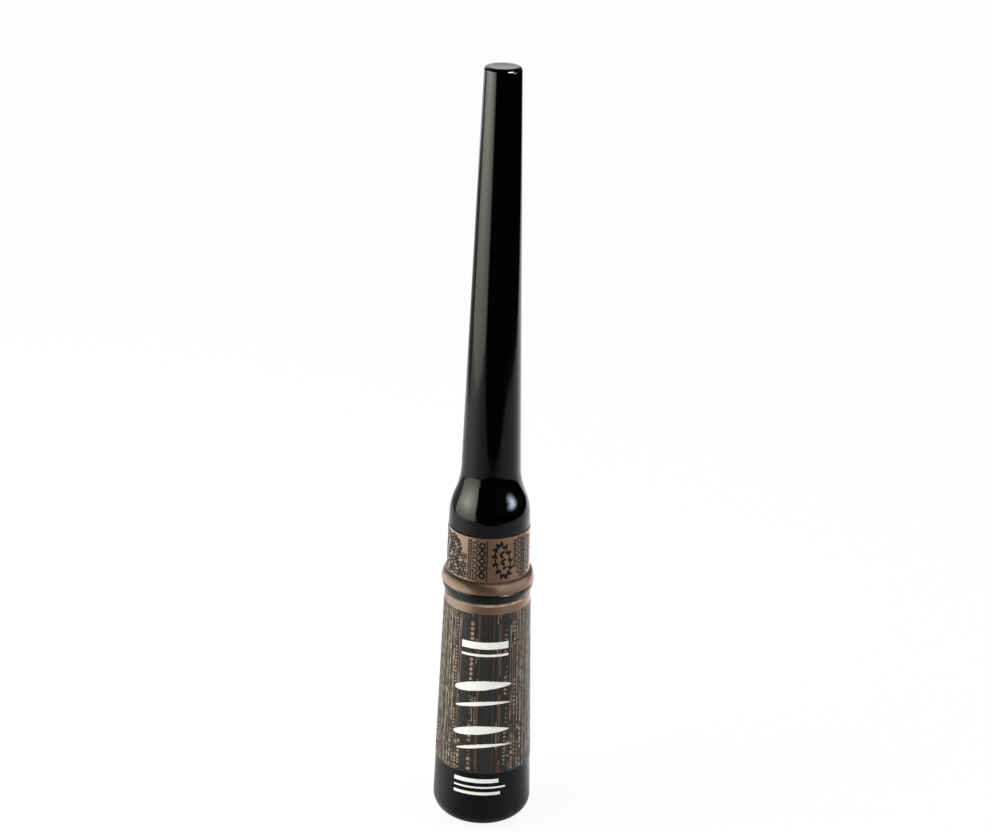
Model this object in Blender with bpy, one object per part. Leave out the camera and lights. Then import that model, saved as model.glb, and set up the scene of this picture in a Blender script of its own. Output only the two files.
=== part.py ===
"""A liquid eyeliner: a small tapered bottle closed by a tall screw cap that carries the brush.

The bottle shell holds a vial with a threaded neck, a soft wiper and a loose mixing ball.
The cap is a slim hollow handle, a printed collar, a trim ring and an inner cap with lugs.
The inner cap also holds the stem, with its ferrule and brush tuft, and rests on a seal.
The origin is the middle of the bottle's underside, and +Z runs up the long axis.
"""

import math

import bmesh
import bpy
from mathutils import Vector

MM = 0.001

# Clearances
FIT = 0.15 * MM
RUN = 0.25 * MM
SEAM = 0.15 * MM
SUNK = 0.2 * MM

# Facets around the axis, for large, middle and small pieces
LARGE_SEGMENTS = 48
MIDDLE_SEGMENTS = 32
SMALL_SEGMENTS = 20
FILLET_STEPS = 4
SMOOTH_ANGLE = math.radians(32)

# Bottle shell
SHELL_BASE_RADIUS = 8.15 * MM
SHELL_TOP_RADIUS = 6.94 * MM
SHELL_HEIGHT = 40.5 * MM
SHELL_FOOT_FILLET = 3.0 * MM
SHELL_RIM_FILLET = 0.35 * MM
SHELL_FLOOR = 1.5 * MM
SHELL_RIM_WALL = 0.73 * MM
FOOT_FILLET_STEPS = 8

# Vial with its neck
VIAL_WALL = 0.8 * MM
VIAL_CORNER = 1.0 * MM
VIAL_FLANGE_STEP = 0.5 * MM
VIAL_FLANGE_THICKNESS = 0.9 * MM
VIAL_SHOULDER = 1.6 * MM
NECK_RADIUS = 4.0 * MM
NECK_WALL = 0.95 * MM
NECK_HEIGHT = 8.6 * MM
NECK_EDGE = 0.25 * MM

# Thread on the neck and the lugs that ride under it
THREAD_STARTS = 2
THREAD_LEAD = 4.0 * MM
THREAD_ANGLE = math.radians(150)
THREAD_DEPTH = 0.45 * MM
THREAD_ROOT_WIDTH = 1.0 * MM
THREAD_CREST_SHARE = 0.45
THREAD_RISE = 3.5 * MM
THREAD_STEPS = 14
LUG_ANGLE = math.radians(24)
LUG_WIDTH = 0.8 * MM
LUG_STEPS = 3

# Wiper pressed into the neck
WIPER_FLANGE_THICKNESS = 0.5 * MM
WIPER_WALL = 0.5 * MM
WIPER_LENGTH = 7.0 * MM
WIPER_LIP = 0.35 * MM
WIPER_CONE_SHARE = 0.4
BEAD_DROP = 2.0 * MM
BEAD_HALF_WIDTH = 0.5 * MM
BEAD_DEPTH = 0.22 * MM

# Mixing ball, which fills the room between the brush and the vial's wall
BALL_RINGS = 12

# Seal, inner cap and trim ring
SEAL_THICKNESS = 0.8 * MM
INNER_WALL = 0.7 * MM
INNER_TOP_THICKNESS = 1.3 * MM
INNER_SPIGOT = 2.6 * MM
INNER_FLANGE_THICKNESS = 0.7 * MM
INNER_LEAD_IN = 0.3 * MM
BOSS_WALL = 0.95 * MM
BOSS_HEIGHT = 5.0 * MM
RING_TAPER = 0.45 * MM
RING_WALL = 0.65 * MM
RING_HEIGHT = 1.6 * MM
RING_EDGE = 0.18 * MM
RING_CROWN = 0.06 * MM
RING_CROWN_STEPS = 4

# Collar
COLLAR_WALL = 1.02 * MM
COLLAR_DRAFT = 0.12 * MM
COLLAR_HEIGHT = 9.5 * MM
COLLAR_EDGE = 0.15 * MM
LIP_SWELL = 0.79 * MM
LIP_HEIGHT = 1.9 * MM
LIP_STEPS = 6

# Handle
HANDLE_HEIGHT = 73.95 * MM
HANDLE_TIP_RADIUS = 2.9 * MM
HANDLE_TAPER_FOOT_RADIUS = 5.01 * MM
HANDLE_RIM_FILLET = 0.5 * MM
HANDLE_FOOT_EDGE = 0.12 * MM
HANDLE_WALL = 1.3 * MM
HANDLE_TOP_THICKNESS = 2.4 * MM
BELL_WALL = 1.0 * MM
BELL_SKIRT = 1.8 * MM
BELL_RISE = 8.2 * MM
BELL_TURN_SHARE = 0.39
BELL_STEPS = 12

# Stem, ferrule and brush
STEM_RADIUS = 1.2 * MM
STEM_TIP_RADIUS = 0.95 * MM
STEM_CHAMFER = 0.3 * MM
STEM_HEAD_CLEARANCE = 0.5 * MM
STEM_TAPER_LENGTH = 6.0 * MM
FERRULE_WALL = 0.2 * MM
FERRULE_LENGTH = 4.2 * MM
FERRULE_GRIP = 2.2 * MM
FERRULE_CRIMP = 0.08 * MM
TUFT_LENGTH = 9.0 * MM
TUFT_TIP_CLEARANCE = 1.7 * MM
TUFT_ROOT_SHARE = 0.12
TUFT_OUTLINE_SHARES = ((0.0, 0.06), (0.03, 0.16), (0.12, 0.42), (0.3, 0.78), (0.52, 1.0), (0.76, 0.96))
TUFT_BELLY_RADIUS = 1.15 * MM

# Heights of the stack, worked out from the sizes above
VIAL_BASE = SHELL_FLOOR + FIT
NECK_TOP = SHELL_HEIGHT + NECK_HEIGHT
WIPER_TOP = NECK_TOP + FIT + WIPER_FLANGE_THICKNESS
BEAD_HEIGHT = NECK_TOP - BEAD_DROP
SEAL_BASE = WIPER_TOP + FIT
SEAL_TOP = SEAL_BASE + SEAL_THICKNESS
MOUTH = SHELL_HEIGHT + SEAM
RING_TOP = MOUTH + RING_HEIGHT
COLLAR_BASE = RING_TOP + SEAM
COLLAR_TOP = COLLAR_BASE + COLLAR_HEIGHT
HANDLE_BASE = COLLAR_TOP + SEAM
HANDLE_TOP = HANDLE_BASE + HANDLE_HEIGHT
INNER_CEILING = SEAL_TOP + FIT
INNER_DECK = INNER_CEILING + INNER_TOP_THICKNESS
BOSS_TOP = INNER_DECK + BOSS_HEIGHT
STEM_TOP = BOSS_TOP - STEM_HEAD_CLEARANCE
TUFT_TIP = VIAL_BASE + VIAL_WALL + TUFT_TIP_CLEARANCE
FERRULE_BASE = TUFT_TIP + TUFT_LENGTH
FERRULE_TOP = FERRULE_BASE + FERRULE_LENGTH
STEM_BASE = FERRULE_TOP - FERRULE_GRIP

# Radii inward from the shell's rim
VIAL_FLANGE_RADIUS = SHELL_TOP_RADIUS - SHELL_RIM_WALL - FIT
VIAL_RADIUS = VIAL_FLANGE_RADIUS - VIAL_FLANGE_STEP
VIAL_BORE_RADIUS = VIAL_RADIUS - VIAL_WALL

# Radii of the rod and of what it passes through
STEM_SOCKET_RADIUS = STEM_RADIUS + FIT
FERRULE_BORE_RADIUS = STEM_TIP_RADIUS + FIT
FERRULE_RADIUS = FERRULE_BORE_RADIUS + FERRULE_WALL
ROD_REACH = max(STEM_RADIUS, FERRULE_RADIUS, TUFT_BELLY_RADIUS) + RUN
BALL_RADIUS = (VIAL_BORE_RADIUS - FIT - ROD_REACH) / 2

# Radii outward from the neck
NECK_BORE_RADIUS = NECK_RADIUS - NECK_WALL
WIPER_FLANGE_RADIUS = NECK_RADIUS - NECK_EDGE
INNER_BORE_RADIUS = NECK_RADIUS + THREAD_DEPTH + RUN
INNER_RADIUS = INNER_BORE_RADIUS + INNER_WALL
SLEEVE_BORE_RADIUS = INNER_RADIUS + FIT
COLLAR_TOP_RADIUS = SLEEVE_BORE_RADIUS + COLLAR_WALL
COLLAR_FOOT_RADIUS = COLLAR_TOP_RADIUS + COLLAR_DRAFT
LIP_RADIUS = COLLAR_FOOT_RADIUS + LIP_SWELL
RING_FOOT_RADIUS = LIP_RADIUS - RING_TAPER
INNER_FLANGE_RADIUS = RING_FOOT_RADIUS - RING_WALL - FIT
BELL_SWELL = SLEEVE_BORE_RADIUS + BELL_WALL - HANDLE_TAPER_FOOT_RADIUS

# Colours as linear red, green and blue
BLACK_ABS = (0.006, 0.006, 0.007)
BROWN_LACQUER = (0.150, 0.092, 0.058)
BLACK_PP = (0.012, 0.012, 0.012)
NATURAL_PP = (0.640, 0.650, 0.640)
MILKY_PE = (0.720, 0.730, 0.720)
PALE_FOAM = (0.700, 0.700, 0.680)
STEEL = (0.560, 0.560, 0.550)
ALUMINIUM = (0.780, 0.780, 0.790)
BLACK_BRISTLE = (0.010, 0.009, 0.009)


def clear_scene():
    """Start from an empty scene."""
    for item in list(bpy.data.objects):
        bpy.data.objects.remove(item, do_unlink=True)


def make_material(name, colour, roughness, metallic=0.0):
    """Return a plain material with one colour."""
    material = bpy.data.materials.new(name)
    material.use_nodes = True
    shader = material.node_tree.nodes["Principled BSDF"]
    shader.inputs["Base Color"].default_value = (*colour, 1.0)
    shader.inputs["Roughness"].default_value = roughness
    shader.inputs["Metallic"].default_value = metallic
    return material


def add_object(name, bm, material=None):
    """Turn a bmesh into a smooth-shaded object."""
    bmesh.ops.recalc_face_normals(bm, faces=bm.faces)
    mesh = bpy.data.meshes.new(name)
    bm.to_mesh(mesh)
    bm.free()
    mesh.shade_smooth()
    mesh.set_sharp_from_angle(angle=SMOOTH_ANGLE)
    item = bpy.data.objects.new(name, mesh)
    if material:
        mesh.materials.append(material)
    bpy.context.collection.objects.link(item)
    return item


def fillet(corner, start, end, radius, steps=FILLET_STEPS):
    """Return the points of an arc that rounds a corner between two neighbours of an outline."""
    corner, start, end = (Vector(point) for point in (corner, start, end))
    toward_start = (start - corner).normalized()
    toward_end = (end - corner).normalized()
    half = toward_start.angle(toward_end) / 2
    centre = corner + (toward_start + toward_end).normalized() * (radius / math.sin(half))
    first = corner + toward_start * (radius / math.tan(half)) - centre
    last = corner + toward_end * (radius / math.tan(half)) - centre
    sweep = first.angle_signed(last)
    points = []
    for step in range(steps + 1):
        angle = math.atan2(first.y, first.x) - sweep * step / steps
        points.append((centre.x + radius * math.cos(angle), centre.y + radius * math.sin(angle)))
    return points


def turn_profile(name, outline, segments, material):
    """Spin a closed outline of radius and height points about the axis."""
    bm = bmesh.new()
    verts = [bm.verts.new((radius, 0.0, height)) for radius, height in outline]
    edges = []
    for index, vert in enumerate(verts):
        following = verts[(index + 1) % len(verts)]
        on_axis = vert.co.x == 0.0 and following.co.x == 0.0
        if not on_axis:
            edges.append(bm.edges.new((vert, following)))
    bmesh.ops.spin(
        bm,
        geom=verts + edges,
        cent=(0.0, 0.0, 0.0),
        axis=(0.0, 0.0, 1.0),
        angle=math.tau,
        steps=segments,
        use_merge=True,
    )
    bmesh.ops.remove_doubles(bm, verts=bm.verts, dist=FIT / segments)
    return add_object(name, bm, material)


def sweep_section(name, section_at, steps):
    """Bridge a run of closed sections into one capped solid."""
    bm = bmesh.new()
    loops = []
    for step in range(steps + 1):
        loops.append([bm.verts.new(point) for point in section_at(step / steps)])
    count = len(loops[0])
    for before, after in zip(loops, loops[1:]):
        for index in range(count):
            following = (index + 1) % count
            bm.faces.new((before[index], before[following], after[following], after[index]))
    bm.faces.new(loops[0])
    bm.faces.new(loops[-1])
    return add_object(name, bm)


def join_guide(item, guide):
    """Fuse a hidden guide solid to an object with a union."""
    guide.hide_render = True
    guide.display_type = "WIRE"
    union = item.modifiers.new(guide.name, "BOOLEAN")
    union.operation = "UNION"
    union.solver = "EXACT"
    union.object = guide


def shell_radius(height):
    """Return the radius of the shell's plain cone at a height."""
    return SHELL_BASE_RADIUS + (SHELL_TOP_RADIUS - SHELL_BASE_RADIUS) * height / SHELL_HEIGHT


def make_bottle_shell():
    """A thick tapered cup with a soft foot, bored for the vial and counterbored for its flange."""
    foot = (shell_radius(0.0), 0.0)
    rim = (SHELL_TOP_RADIUS, SHELL_HEIGHT)
    counterbore = VIAL_FLANGE_RADIUS + FIT
    ledge = SHELL_HEIGHT - VIAL_FLANGE_THICKNESS - FIT
    bore = VIAL_RADIUS + FIT
    outline = [(0.0, 0.0)]
    outline += fillet(foot, (0.0, 0.0), rim, SHELL_FOOT_FILLET, FOOT_FILLET_STEPS)
    outline += fillet(rim, foot, (counterbore, SHELL_HEIGHT), SHELL_RIM_FILLET)
    outline += [
        (counterbore, SHELL_HEIGHT),
        (counterbore, ledge),
        (bore, ledge),
    ]
    outline += fillet((bore, SHELL_FLOOR), (bore, ledge), (0.0, SHELL_FLOOR), VIAL_CORNER)
    outline.append((0.0, SHELL_FLOOR))
    material = make_material("lacquered_shell", BROWN_LACQUER, 0.32)
    return turn_profile("bottle_shell", outline, LARGE_SEGMENTS, material)


def thread_section(angle, height, root, crest, width):
    """Return the four corners of a ridge's section at one angle, sunk in from its root radius."""
    half_root = width / 2
    half_crest = half_root * THREAD_CREST_SHARE
    corners = ((root, half_root), (crest, half_crest), (crest, -half_crest), (root, -half_root))
    turned = []
    for radius, offset in corners:
        turned.append((radius * math.cos(angle), radius * math.sin(angle), height + offset))
    return turned


def make_bottle_vial(material):
    """The inner vial: a straight body, a seating flange, and a neck with a two-start thread."""
    floor = VIAL_BASE + VIAL_WALL
    flange_base = SHELL_HEIGHT - VIAL_FLANGE_THICKNESS
    shoulder = flange_base - VIAL_SHOULDER
    base_corner = (VIAL_RADIUS, VIAL_BASE)
    outline = [(0.0, VIAL_BASE)]
    outline += fillet(base_corner, (0.0, VIAL_BASE), (VIAL_RADIUS, flange_base), VIAL_CORNER)
    outline += [
        (VIAL_RADIUS, flange_base),
        (VIAL_FLANGE_RADIUS, flange_base),
        (VIAL_FLANGE_RADIUS, SHELL_HEIGHT),
        (NECK_RADIUS, SHELL_HEIGHT),
        (NECK_RADIUS, NECK_TOP - NECK_EDGE),
        (NECK_RADIUS - NECK_EDGE, NECK_TOP),
        (NECK_BORE_RADIUS, NECK_TOP),
        (NECK_BORE_RADIUS, BEAD_HEIGHT + BEAD_HALF_WIDTH + FIT),
        (NECK_BORE_RADIUS + BEAD_DEPTH, BEAD_HEIGHT),
        (NECK_BORE_RADIUS, BEAD_HEIGHT - BEAD_HALF_WIDTH - FIT),
        (NECK_BORE_RADIUS, flange_base),
        (VIAL_BORE_RADIUS, shoulder),
        (VIAL_BORE_RADIUS, floor + VIAL_WALL),
        (VIAL_BORE_RADIUS - VIAL_WALL, floor),
        (0.0, floor),
    ]
    vial = turn_profile("bottle_vial", outline, LARGE_SEGMENTS, material)
    for start in range(THREAD_STARTS):
        first_angle = math.tau * start / THREAD_STARTS

        def ridge_at(share, first_angle=first_angle):
            angle = first_angle + THREAD_ANGLE * share
            height = SHELL_HEIGHT + THREAD_RISE + THREAD_LEAD * THREAD_ANGLE * share / math.tau
            root = NECK_RADIUS - SUNK
            crest = NECK_RADIUS + THREAD_DEPTH
            return thread_section(angle, height, root, crest, THREAD_ROOT_WIDTH)

        join_guide(vial, sweep_section(f"thread_guide_{start}", ridge_at, THREAD_STEPS))
    return vial


def make_wiper():
    """A soft sleeve with a flange on the neck's rim, a snap bead and a lip that wipes the stem."""
    outer = NECK_BORE_RADIUS - FIT
    inner = outer - WIPER_WALL
    underside = NECK_TOP + FIT
    foot = underside - WIPER_LENGTH
    cone = foot + WIPER_LENGTH * WIPER_CONE_SHARE
    outline = [
        (inner, WIPER_TOP),
        (WIPER_FLANGE_RADIUS, WIPER_TOP),
        (WIPER_FLANGE_RADIUS, underside),
        (outer, underside),
        (outer, BEAD_HEIGHT + BEAD_HALF_WIDTH),
        (outer + BEAD_DEPTH, BEAD_HEIGHT),
        (outer, BEAD_HEIGHT - BEAD_HALF_WIDTH),
        (outer, cone),
        (ROD_REACH + WIPER_WALL, foot + WIPER_LIP),
        (ROD_REACH + WIPER_LIP, foot),
        (ROD_REACH, foot),
        (ROD_REACH, foot + WIPER_LIP),
        (inner, cone + WIPER_LIP),
    ]
    material = make_material("soft_polyethylene", MILKY_PE, 0.45)
    return turn_profile("wiper", outline, MIDDLE_SEGMENTS, material)


def make_mixing_ball():
    """A steel ball that lies on the vial's floor, beside the brush."""
    bm = bmesh.new()
    bmesh.ops.create_uvsphere(
        bm, u_segments=SMALL_SEGMENTS, v_segments=BALL_RINGS, radius=BALL_RADIUS
    )
    material = make_material("polished_steel", STEEL, 0.15, 1.0)
    ball = add_object("mixing_ball", bm, material)
    aside = VIAL_BORE_RADIUS - BALL_RADIUS - FIT
    ball.location = (0.0, aside, VIAL_BASE + VIAL_WALL + FIT + BALL_RADIUS)
    return ball


def make_seal_ring():
    """A flat soft washer round the stem, clamped between the wiper's flange and the inner cap."""
    outer = INNER_BORE_RADIUS - RUN
    outline = [
        (STEM_SOCKET_RADIUS, SEAL_BASE),
        (outer, SEAL_BASE),
        (outer, SEAL_TOP),
        (STEM_SOCKET_RADIUS, SEAL_TOP),
    ]
    material = make_material("foamed_polyethylene", PALE_FOAM, 0.8)
    return turn_profile("seal_ring", outline, MIDDLE_SEGMENTS, material)


def make_cap_inner():
    """The threaded inner cap: mouth flange, skirt with two lugs, deck, stem boss and spigot."""
    spigot_top = INNER_DECK + INNER_SPIGOT
    boss_radius = STEM_SOCKET_RADIUS + BOSS_WALL
    flange_top = MOUTH + INNER_FLANGE_THICKNESS
    outline = [
        (INNER_BORE_RADIUS + INNER_LEAD_IN, MOUTH),
        (INNER_FLANGE_RADIUS, MOUTH),
        (INNER_FLANGE_RADIUS, flange_top),
        (INNER_RADIUS, flange_top),
        (INNER_RADIUS, spigot_top - INNER_LEAD_IN),
        (INNER_RADIUS - INNER_LEAD_IN, spigot_top),
        (INNER_BORE_RADIUS, spigot_top),
        (INNER_BORE_RADIUS, INNER_DECK),
        (boss_radius, INNER_DECK),
        (boss_radius, BOSS_TOP),
        (STEM_SOCKET_RADIUS, BOSS_TOP),
        (STEM_SOCKET_RADIUS, INNER_CEILING),
        (INNER_BORE_RADIUS, INNER_CEILING),
        (INNER_BORE_RADIUS, MOUTH + INNER_LEAD_IN),
    ]
    material = make_material("black_polypropylene", BLACK_PP, 0.4)
    cap = turn_profile("cap_inner", outline, LARGE_SEGMENTS, material)
    ridge_foot = SHELL_HEIGHT + THREAD_RISE - THREAD_ROOT_WIDTH / 2
    lug_height = ridge_foot - RUN - LUG_WIDTH / 2
    for start in range(THREAD_STARTS):
        first_angle = math.tau * start / THREAD_STARTS

        def lug_at(share, first_angle=first_angle):
            angle = first_angle + LUG_ANGLE * share
            return thread_section(
                angle, lug_height, INNER_BORE_RADIUS + SUNK, NECK_RADIUS + RUN, LUG_WIDTH
            )

        join_guide(cap, sweep_section(f"lug_guide_{start}", lug_at, LUG_STEPS))
    return cap


def make_cap_ring(material):
    """The glossy trim ring at the cap's mouth, hooked over the inner cap's flange."""
    foot = (RING_FOOT_RADIUS, MOUTH)
    top = (LIP_RADIUS, RING_TOP)
    counterbore = INNER_FLANGE_RADIUS + FIT
    ledge = MOUTH + INNER_FLANGE_THICKNESS + FIT
    outline = [(counterbore, MOUTH)]
    outline += fillet(foot, (counterbore, MOUTH), top, RING_EDGE)
    for step in range(1, RING_CROWN_STEPS):
        share = step / RING_CROWN_STEPS
        radius = RING_FOOT_RADIUS + (LIP_RADIUS - RING_FOOT_RADIUS) * share
        crown = RING_CROWN * math.sin(math.pi * share)
        outline.append((radius + crown, MOUTH + RING_HEIGHT * share))
    outline += fillet(top, foot, (SLEEVE_BORE_RADIUS, RING_TOP), RING_EDGE)
    outline += [
        (SLEEVE_BORE_RADIUS, RING_TOP),
        (SLEEVE_BORE_RADIUS, ledge),
        (counterbore, ledge),
    ]
    return turn_profile("cap_ring", outline, LARGE_SEGMENTS, material)


def make_cap_collar():
    """The printed sleeve round the inner cap, ending below in a rounded lip."""
    lip_top = COLLAR_BASE + LIP_HEIGHT
    top = (COLLAR_TOP_RADIUS, COLLAR_TOP)
    waist = (COLLAR_FOOT_RADIUS, lip_top)
    outline = [(SLEEVE_BORE_RADIUS, COLLAR_BASE)]
    for step in range(LIP_STEPS + 1):
        angle = math.pi / 2 * step / LIP_STEPS
        radius = COLLAR_FOOT_RADIUS + LIP_SWELL * math.cos(angle)
        outline.append((radius, COLLAR_BASE + LIP_HEIGHT * math.sin(angle)))
    outline += fillet(top, waist, (SLEEVE_BORE_RADIUS, COLLAR_TOP), COLLAR_EDGE)
    outline.append((SLEEVE_BORE_RADIUS, COLLAR_TOP))
    material = make_material("brown_lacquer", BROWN_LACQUER, 0.3)
    return turn_profile("cap_collar", outline, LARGE_SEGMENTS, material)


def handle_radius(height):
    """Return the handle's outer radius: a straight taper with a bell that swells at its foot."""
    slope = (HANDLE_TAPER_FOOT_RADIUS - HANDLE_TIP_RADIUS) / HANDLE_HEIGHT
    taper = HANDLE_TIP_RADIUS + slope * (HANDLE_TOP - height)
    rise = (height - HANDLE_BASE - BELL_SKIRT) / BELL_RISE
    rise = min(max(rise, 0.0), 1.0)
    if rise < BELL_TURN_SHARE:
        swell = 1.0 - rise * rise / BELL_TURN_SHARE
    else:
        swell = (1.0 - rise) ** 2 / (1.0 - BELL_TURN_SHARE)
    return taper + BELL_SWELL * swell


def make_cap_handle(material):
    """The slim hollow handle, moulded in one piece with its bell and open at the foot."""
    bell_top = HANDLE_BASE + BELL_SKIRT + BELL_RISE
    rim = (handle_radius(HANDLE_TOP), HANDLE_TOP)
    foot = (handle_radius(HANDLE_BASE), HANDLE_BASE)
    outline = [(SLEEVE_BORE_RADIUS, HANDLE_BASE)]
    outline += fillet(foot, (SLEEVE_BORE_RADIUS, HANDLE_BASE), rim, HANDLE_FOOT_EDGE, 2)
    for step in range(BELL_STEPS + 1):
        height = HANDLE_BASE + BELL_SKIRT + BELL_RISE * step / BELL_STEPS
        outline.append((handle_radius(height), height))
    outline += fillet(rim, (handle_radius(bell_top), bell_top), (0.0, HANDLE_TOP), HANDLE_RIM_FILLET)
    spigot_top = INNER_DECK + INNER_SPIGOT + FIT
    cavity_top = HANDLE_TOP - HANDLE_TOP_THICKNESS
    throat = max(spigot_top + HANDLE_WALL, BOSS_TOP - HANDLE_WALL)
    outline += [
        (0.0, HANDLE_TOP),
        (0.0, cavity_top),
        (handle_radius(cavity_top) - HANDLE_WALL, cavity_top - HANDLE_WALL),
        (handle_radius(bell_top) - HANDLE_WALL, bell_top),
        (handle_radius(bell_top) - HANDLE_WALL, throat),
        (SLEEVE_BORE_RADIUS, spigot_top),
    ]
    return turn_profile("cap_handle", outline, LARGE_SEGMENTS, material)


def make_stem(material):
    """The rod pressed into the boss, tapered at its foot to enter the ferrule."""
    outline = [
        (0.0, STEM_BASE),
        (STEM_TIP_RADIUS, STEM_BASE),
        (STEM_TIP_RADIUS, FERRULE_TOP),
        (STEM_TIP_RADIUS, FERRULE_TOP + FIT),
        (STEM_RADIUS, FERRULE_TOP + STEM_TAPER_LENGTH),
        (STEM_RADIUS, STEM_TOP - STEM_CHAMFER),
        (STEM_RADIUS - STEM_CHAMFER, STEM_TOP),
        (0.0, STEM_TOP),
    ]
    return turn_profile("stem", outline, SMALL_SEGMENTS, material)


def make_ferrule():
    """A thin crimped sleeve that holds the brush to the stem."""
    middle = FERRULE_BASE + FERRULE_LENGTH / 2
    crimp = FERRULE_RADIUS - FERRULE_CRIMP
    outline = [
        (FERRULE_BORE_RADIUS, FERRULE_BASE),
        (crimp, FERRULE_BASE),
        (FERRULE_RADIUS, FERRULE_BASE + FERRULE_WALL),
        (FERRULE_RADIUS, middle - FERRULE_WALL),
        (crimp, middle),
        (FERRULE_RADIUS, middle + FERRULE_WALL),
        (FERRULE_RADIUS, FERRULE_TOP - FERRULE_WALL),
        (crimp, FERRULE_TOP),
        (FERRULE_BORE_RADIUS, FERRULE_TOP),
    ]
    material = make_material("crimped_aluminium", ALUMINIUM, 0.3, 1.0)
    return turn_profile("brush_ferrule", outline, SMALL_SEGMENTS, material)


def make_tuft():
    """The fine brush: a narrow root in the ferrule, a slim belly and a point."""
    root_radius = FERRULE_BORE_RADIUS - FIT
    root_top = STEM_BASE - FIT
    outline = [(0.0, TUFT_TIP)]
    for height_share, radius_share in TUFT_OUTLINE_SHARES:
        outline.append((TUFT_BELLY_RADIUS * radius_share, TUFT_TIP + TUFT_LENGTH * height_share))
    outline += [
        (root_radius, FERRULE_BASE - TUFT_LENGTH * TUFT_ROOT_SHARE),
        (root_radius, root_top),
        (0.0, root_top),
    ]
    material = make_material("fine_bristle", BLACK_BRISTLE, 0.6)
    return turn_profile("brush_tuft", outline, SMALL_SEGMENTS, material)


def main():
    """Build every piece of the eyeliner."""
    clear_scene()
    gloss_black = make_material("gloss_black_abs", BLACK_ABS, 0.08)
    make_bottle_shell()
    make_bottle_vial(make_material("natural_polypropylene", NATURAL_PP, 0.35))
    make_wiper()
    make_mixing_ball()
    make_seal_ring()
    make_cap_inner()
    make_cap_ring(gloss_black)
    make_cap_collar()
    make_cap_handle(gloss_black)
    make_stem(make_material("black_acetal", BLACK_PP, 0.3))
    make_ferrule()
    make_tuft()


main()
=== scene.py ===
"""Looks and studio for a liquid eyeliner, laid out as an add-on and run as a script.

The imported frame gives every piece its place. Fine turned pieces stand for the coarse ones,
the print lies on the lacquer as a thin film, and a small studio lights the whole.
"""

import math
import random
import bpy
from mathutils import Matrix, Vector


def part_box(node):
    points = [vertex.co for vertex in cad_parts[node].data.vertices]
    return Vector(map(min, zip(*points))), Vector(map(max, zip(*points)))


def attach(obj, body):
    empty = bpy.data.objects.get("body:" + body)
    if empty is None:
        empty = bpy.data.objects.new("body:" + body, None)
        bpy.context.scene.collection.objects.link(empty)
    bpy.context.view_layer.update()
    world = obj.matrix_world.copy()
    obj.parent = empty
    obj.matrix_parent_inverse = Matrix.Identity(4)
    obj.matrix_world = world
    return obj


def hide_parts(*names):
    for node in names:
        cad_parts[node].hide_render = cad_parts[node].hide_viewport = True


bl_info = {
    "name": "Liquid eyeliner looks", "version": (1, 0, 0), "blender": (4, 5, 0),
    "location": "View3D > Sidebar > Eyeliner",
    "description": "Dresses the packed eyeliner with fine pieces, finishes, a print and a studio",
    "category": "Object",
}

import bmesh
import bpy
from bpy.props import FloatProperty, FloatVectorProperty, IntProperty, PointerProperty
from mathutils import Matrix, Vector

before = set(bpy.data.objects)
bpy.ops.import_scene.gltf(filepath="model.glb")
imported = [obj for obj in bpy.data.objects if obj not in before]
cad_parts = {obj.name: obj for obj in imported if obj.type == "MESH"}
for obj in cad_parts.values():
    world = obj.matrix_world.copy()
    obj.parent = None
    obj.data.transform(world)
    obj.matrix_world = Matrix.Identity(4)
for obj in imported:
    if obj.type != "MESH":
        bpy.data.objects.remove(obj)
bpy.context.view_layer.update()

MM = 0.001
FRONT = -math.pi / 2
FIXED_FIT = 0.15 * MM
RUNNING_FIT = 0.25 * MM
NECK_WALL = 0.95 * MM
SNAP_BEAD_DROP = 2.0 * MM
SNAP_BEAD_REACH = 0.22 * MM
THREAD_START = 3.5 * MM
THREAD_SWEEP = math.radians(150)


def span(node):
    """Return a turned node's widest radius, foot height and top height."""
    low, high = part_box(node)
    return high.x, low.z, high.z


_, SHELL_FOOT, SHELL_TOP = span("bottle_shell")
VIAL_WIDEST, VIAL_FOOT, VIAL_TOP = span("bottle_vial")
WIPER_WIDEST, WIPER_FOOT, WIPER_TOP = span("wiper")
SEAL_WIDEST, SEAL_FOOT, SEAL_TOP = span("seal_ring")
INNER_WIDEST, INNER_FOOT, INNER_TOP = span("cap_inner")
RING_WIDEST, RING_FOOT, RING_TOP = span("cap_ring")
COLLAR_WIDEST, COLLAR_FOOT, COLLAR_TOP = span("cap_collar")
HANDLE_WIDEST, HANDLE_FOOT, HANDLE_TOP = span("cap_handle")
STEM_WIDEST, STEM_FOOT, STEM_TOP = span("stem")
FERRULE_WIDEST, FERRULE_FOOT, FERRULE_TOP = span("brush_ferrule")
TUFT_WIDEST, TUFT_FOOT, TUFT_TOP = span("brush_tuft")


def length(name, millimetres, description):
    """Return a length property whose default is given in millimetres."""
    return FloatProperty(
        name=name, description=description, default=millimetres * MM, unit="LENGTH", precision=6
    )


def radiance(name, default, description):
    """Return a light level, where one is white."""
    return FloatProperty(name=name, description=description, default=default, min=0.0)


def tilt(name, degrees, description):
    """Return an angle property whose default is given in degrees."""
    return FloatProperty(
        name=name, description=description, default=math.radians(degrees), subtype="ANGLE"
    )


def linear(hex_colour):
    """Turn an sRGB hex colour into linear red, green and blue."""
    channels = [int(hex_colour[place : place + 2], 16) / 255 for place in (1, 3, 5)]
    return tuple(c / 12.92 if c <= 0.04045 else ((c + 0.055) / 1.055) ** 2.4 for c in channels)


def colour(name, hex_colour, description):
    """Return a colour property whose default is an sRGB hex value."""
    return FloatVectorProperty(
        name=name, description=description, default=linear(hex_colour), subtype="COLOR",
        min=0.0, max=1.0,
    )


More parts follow.
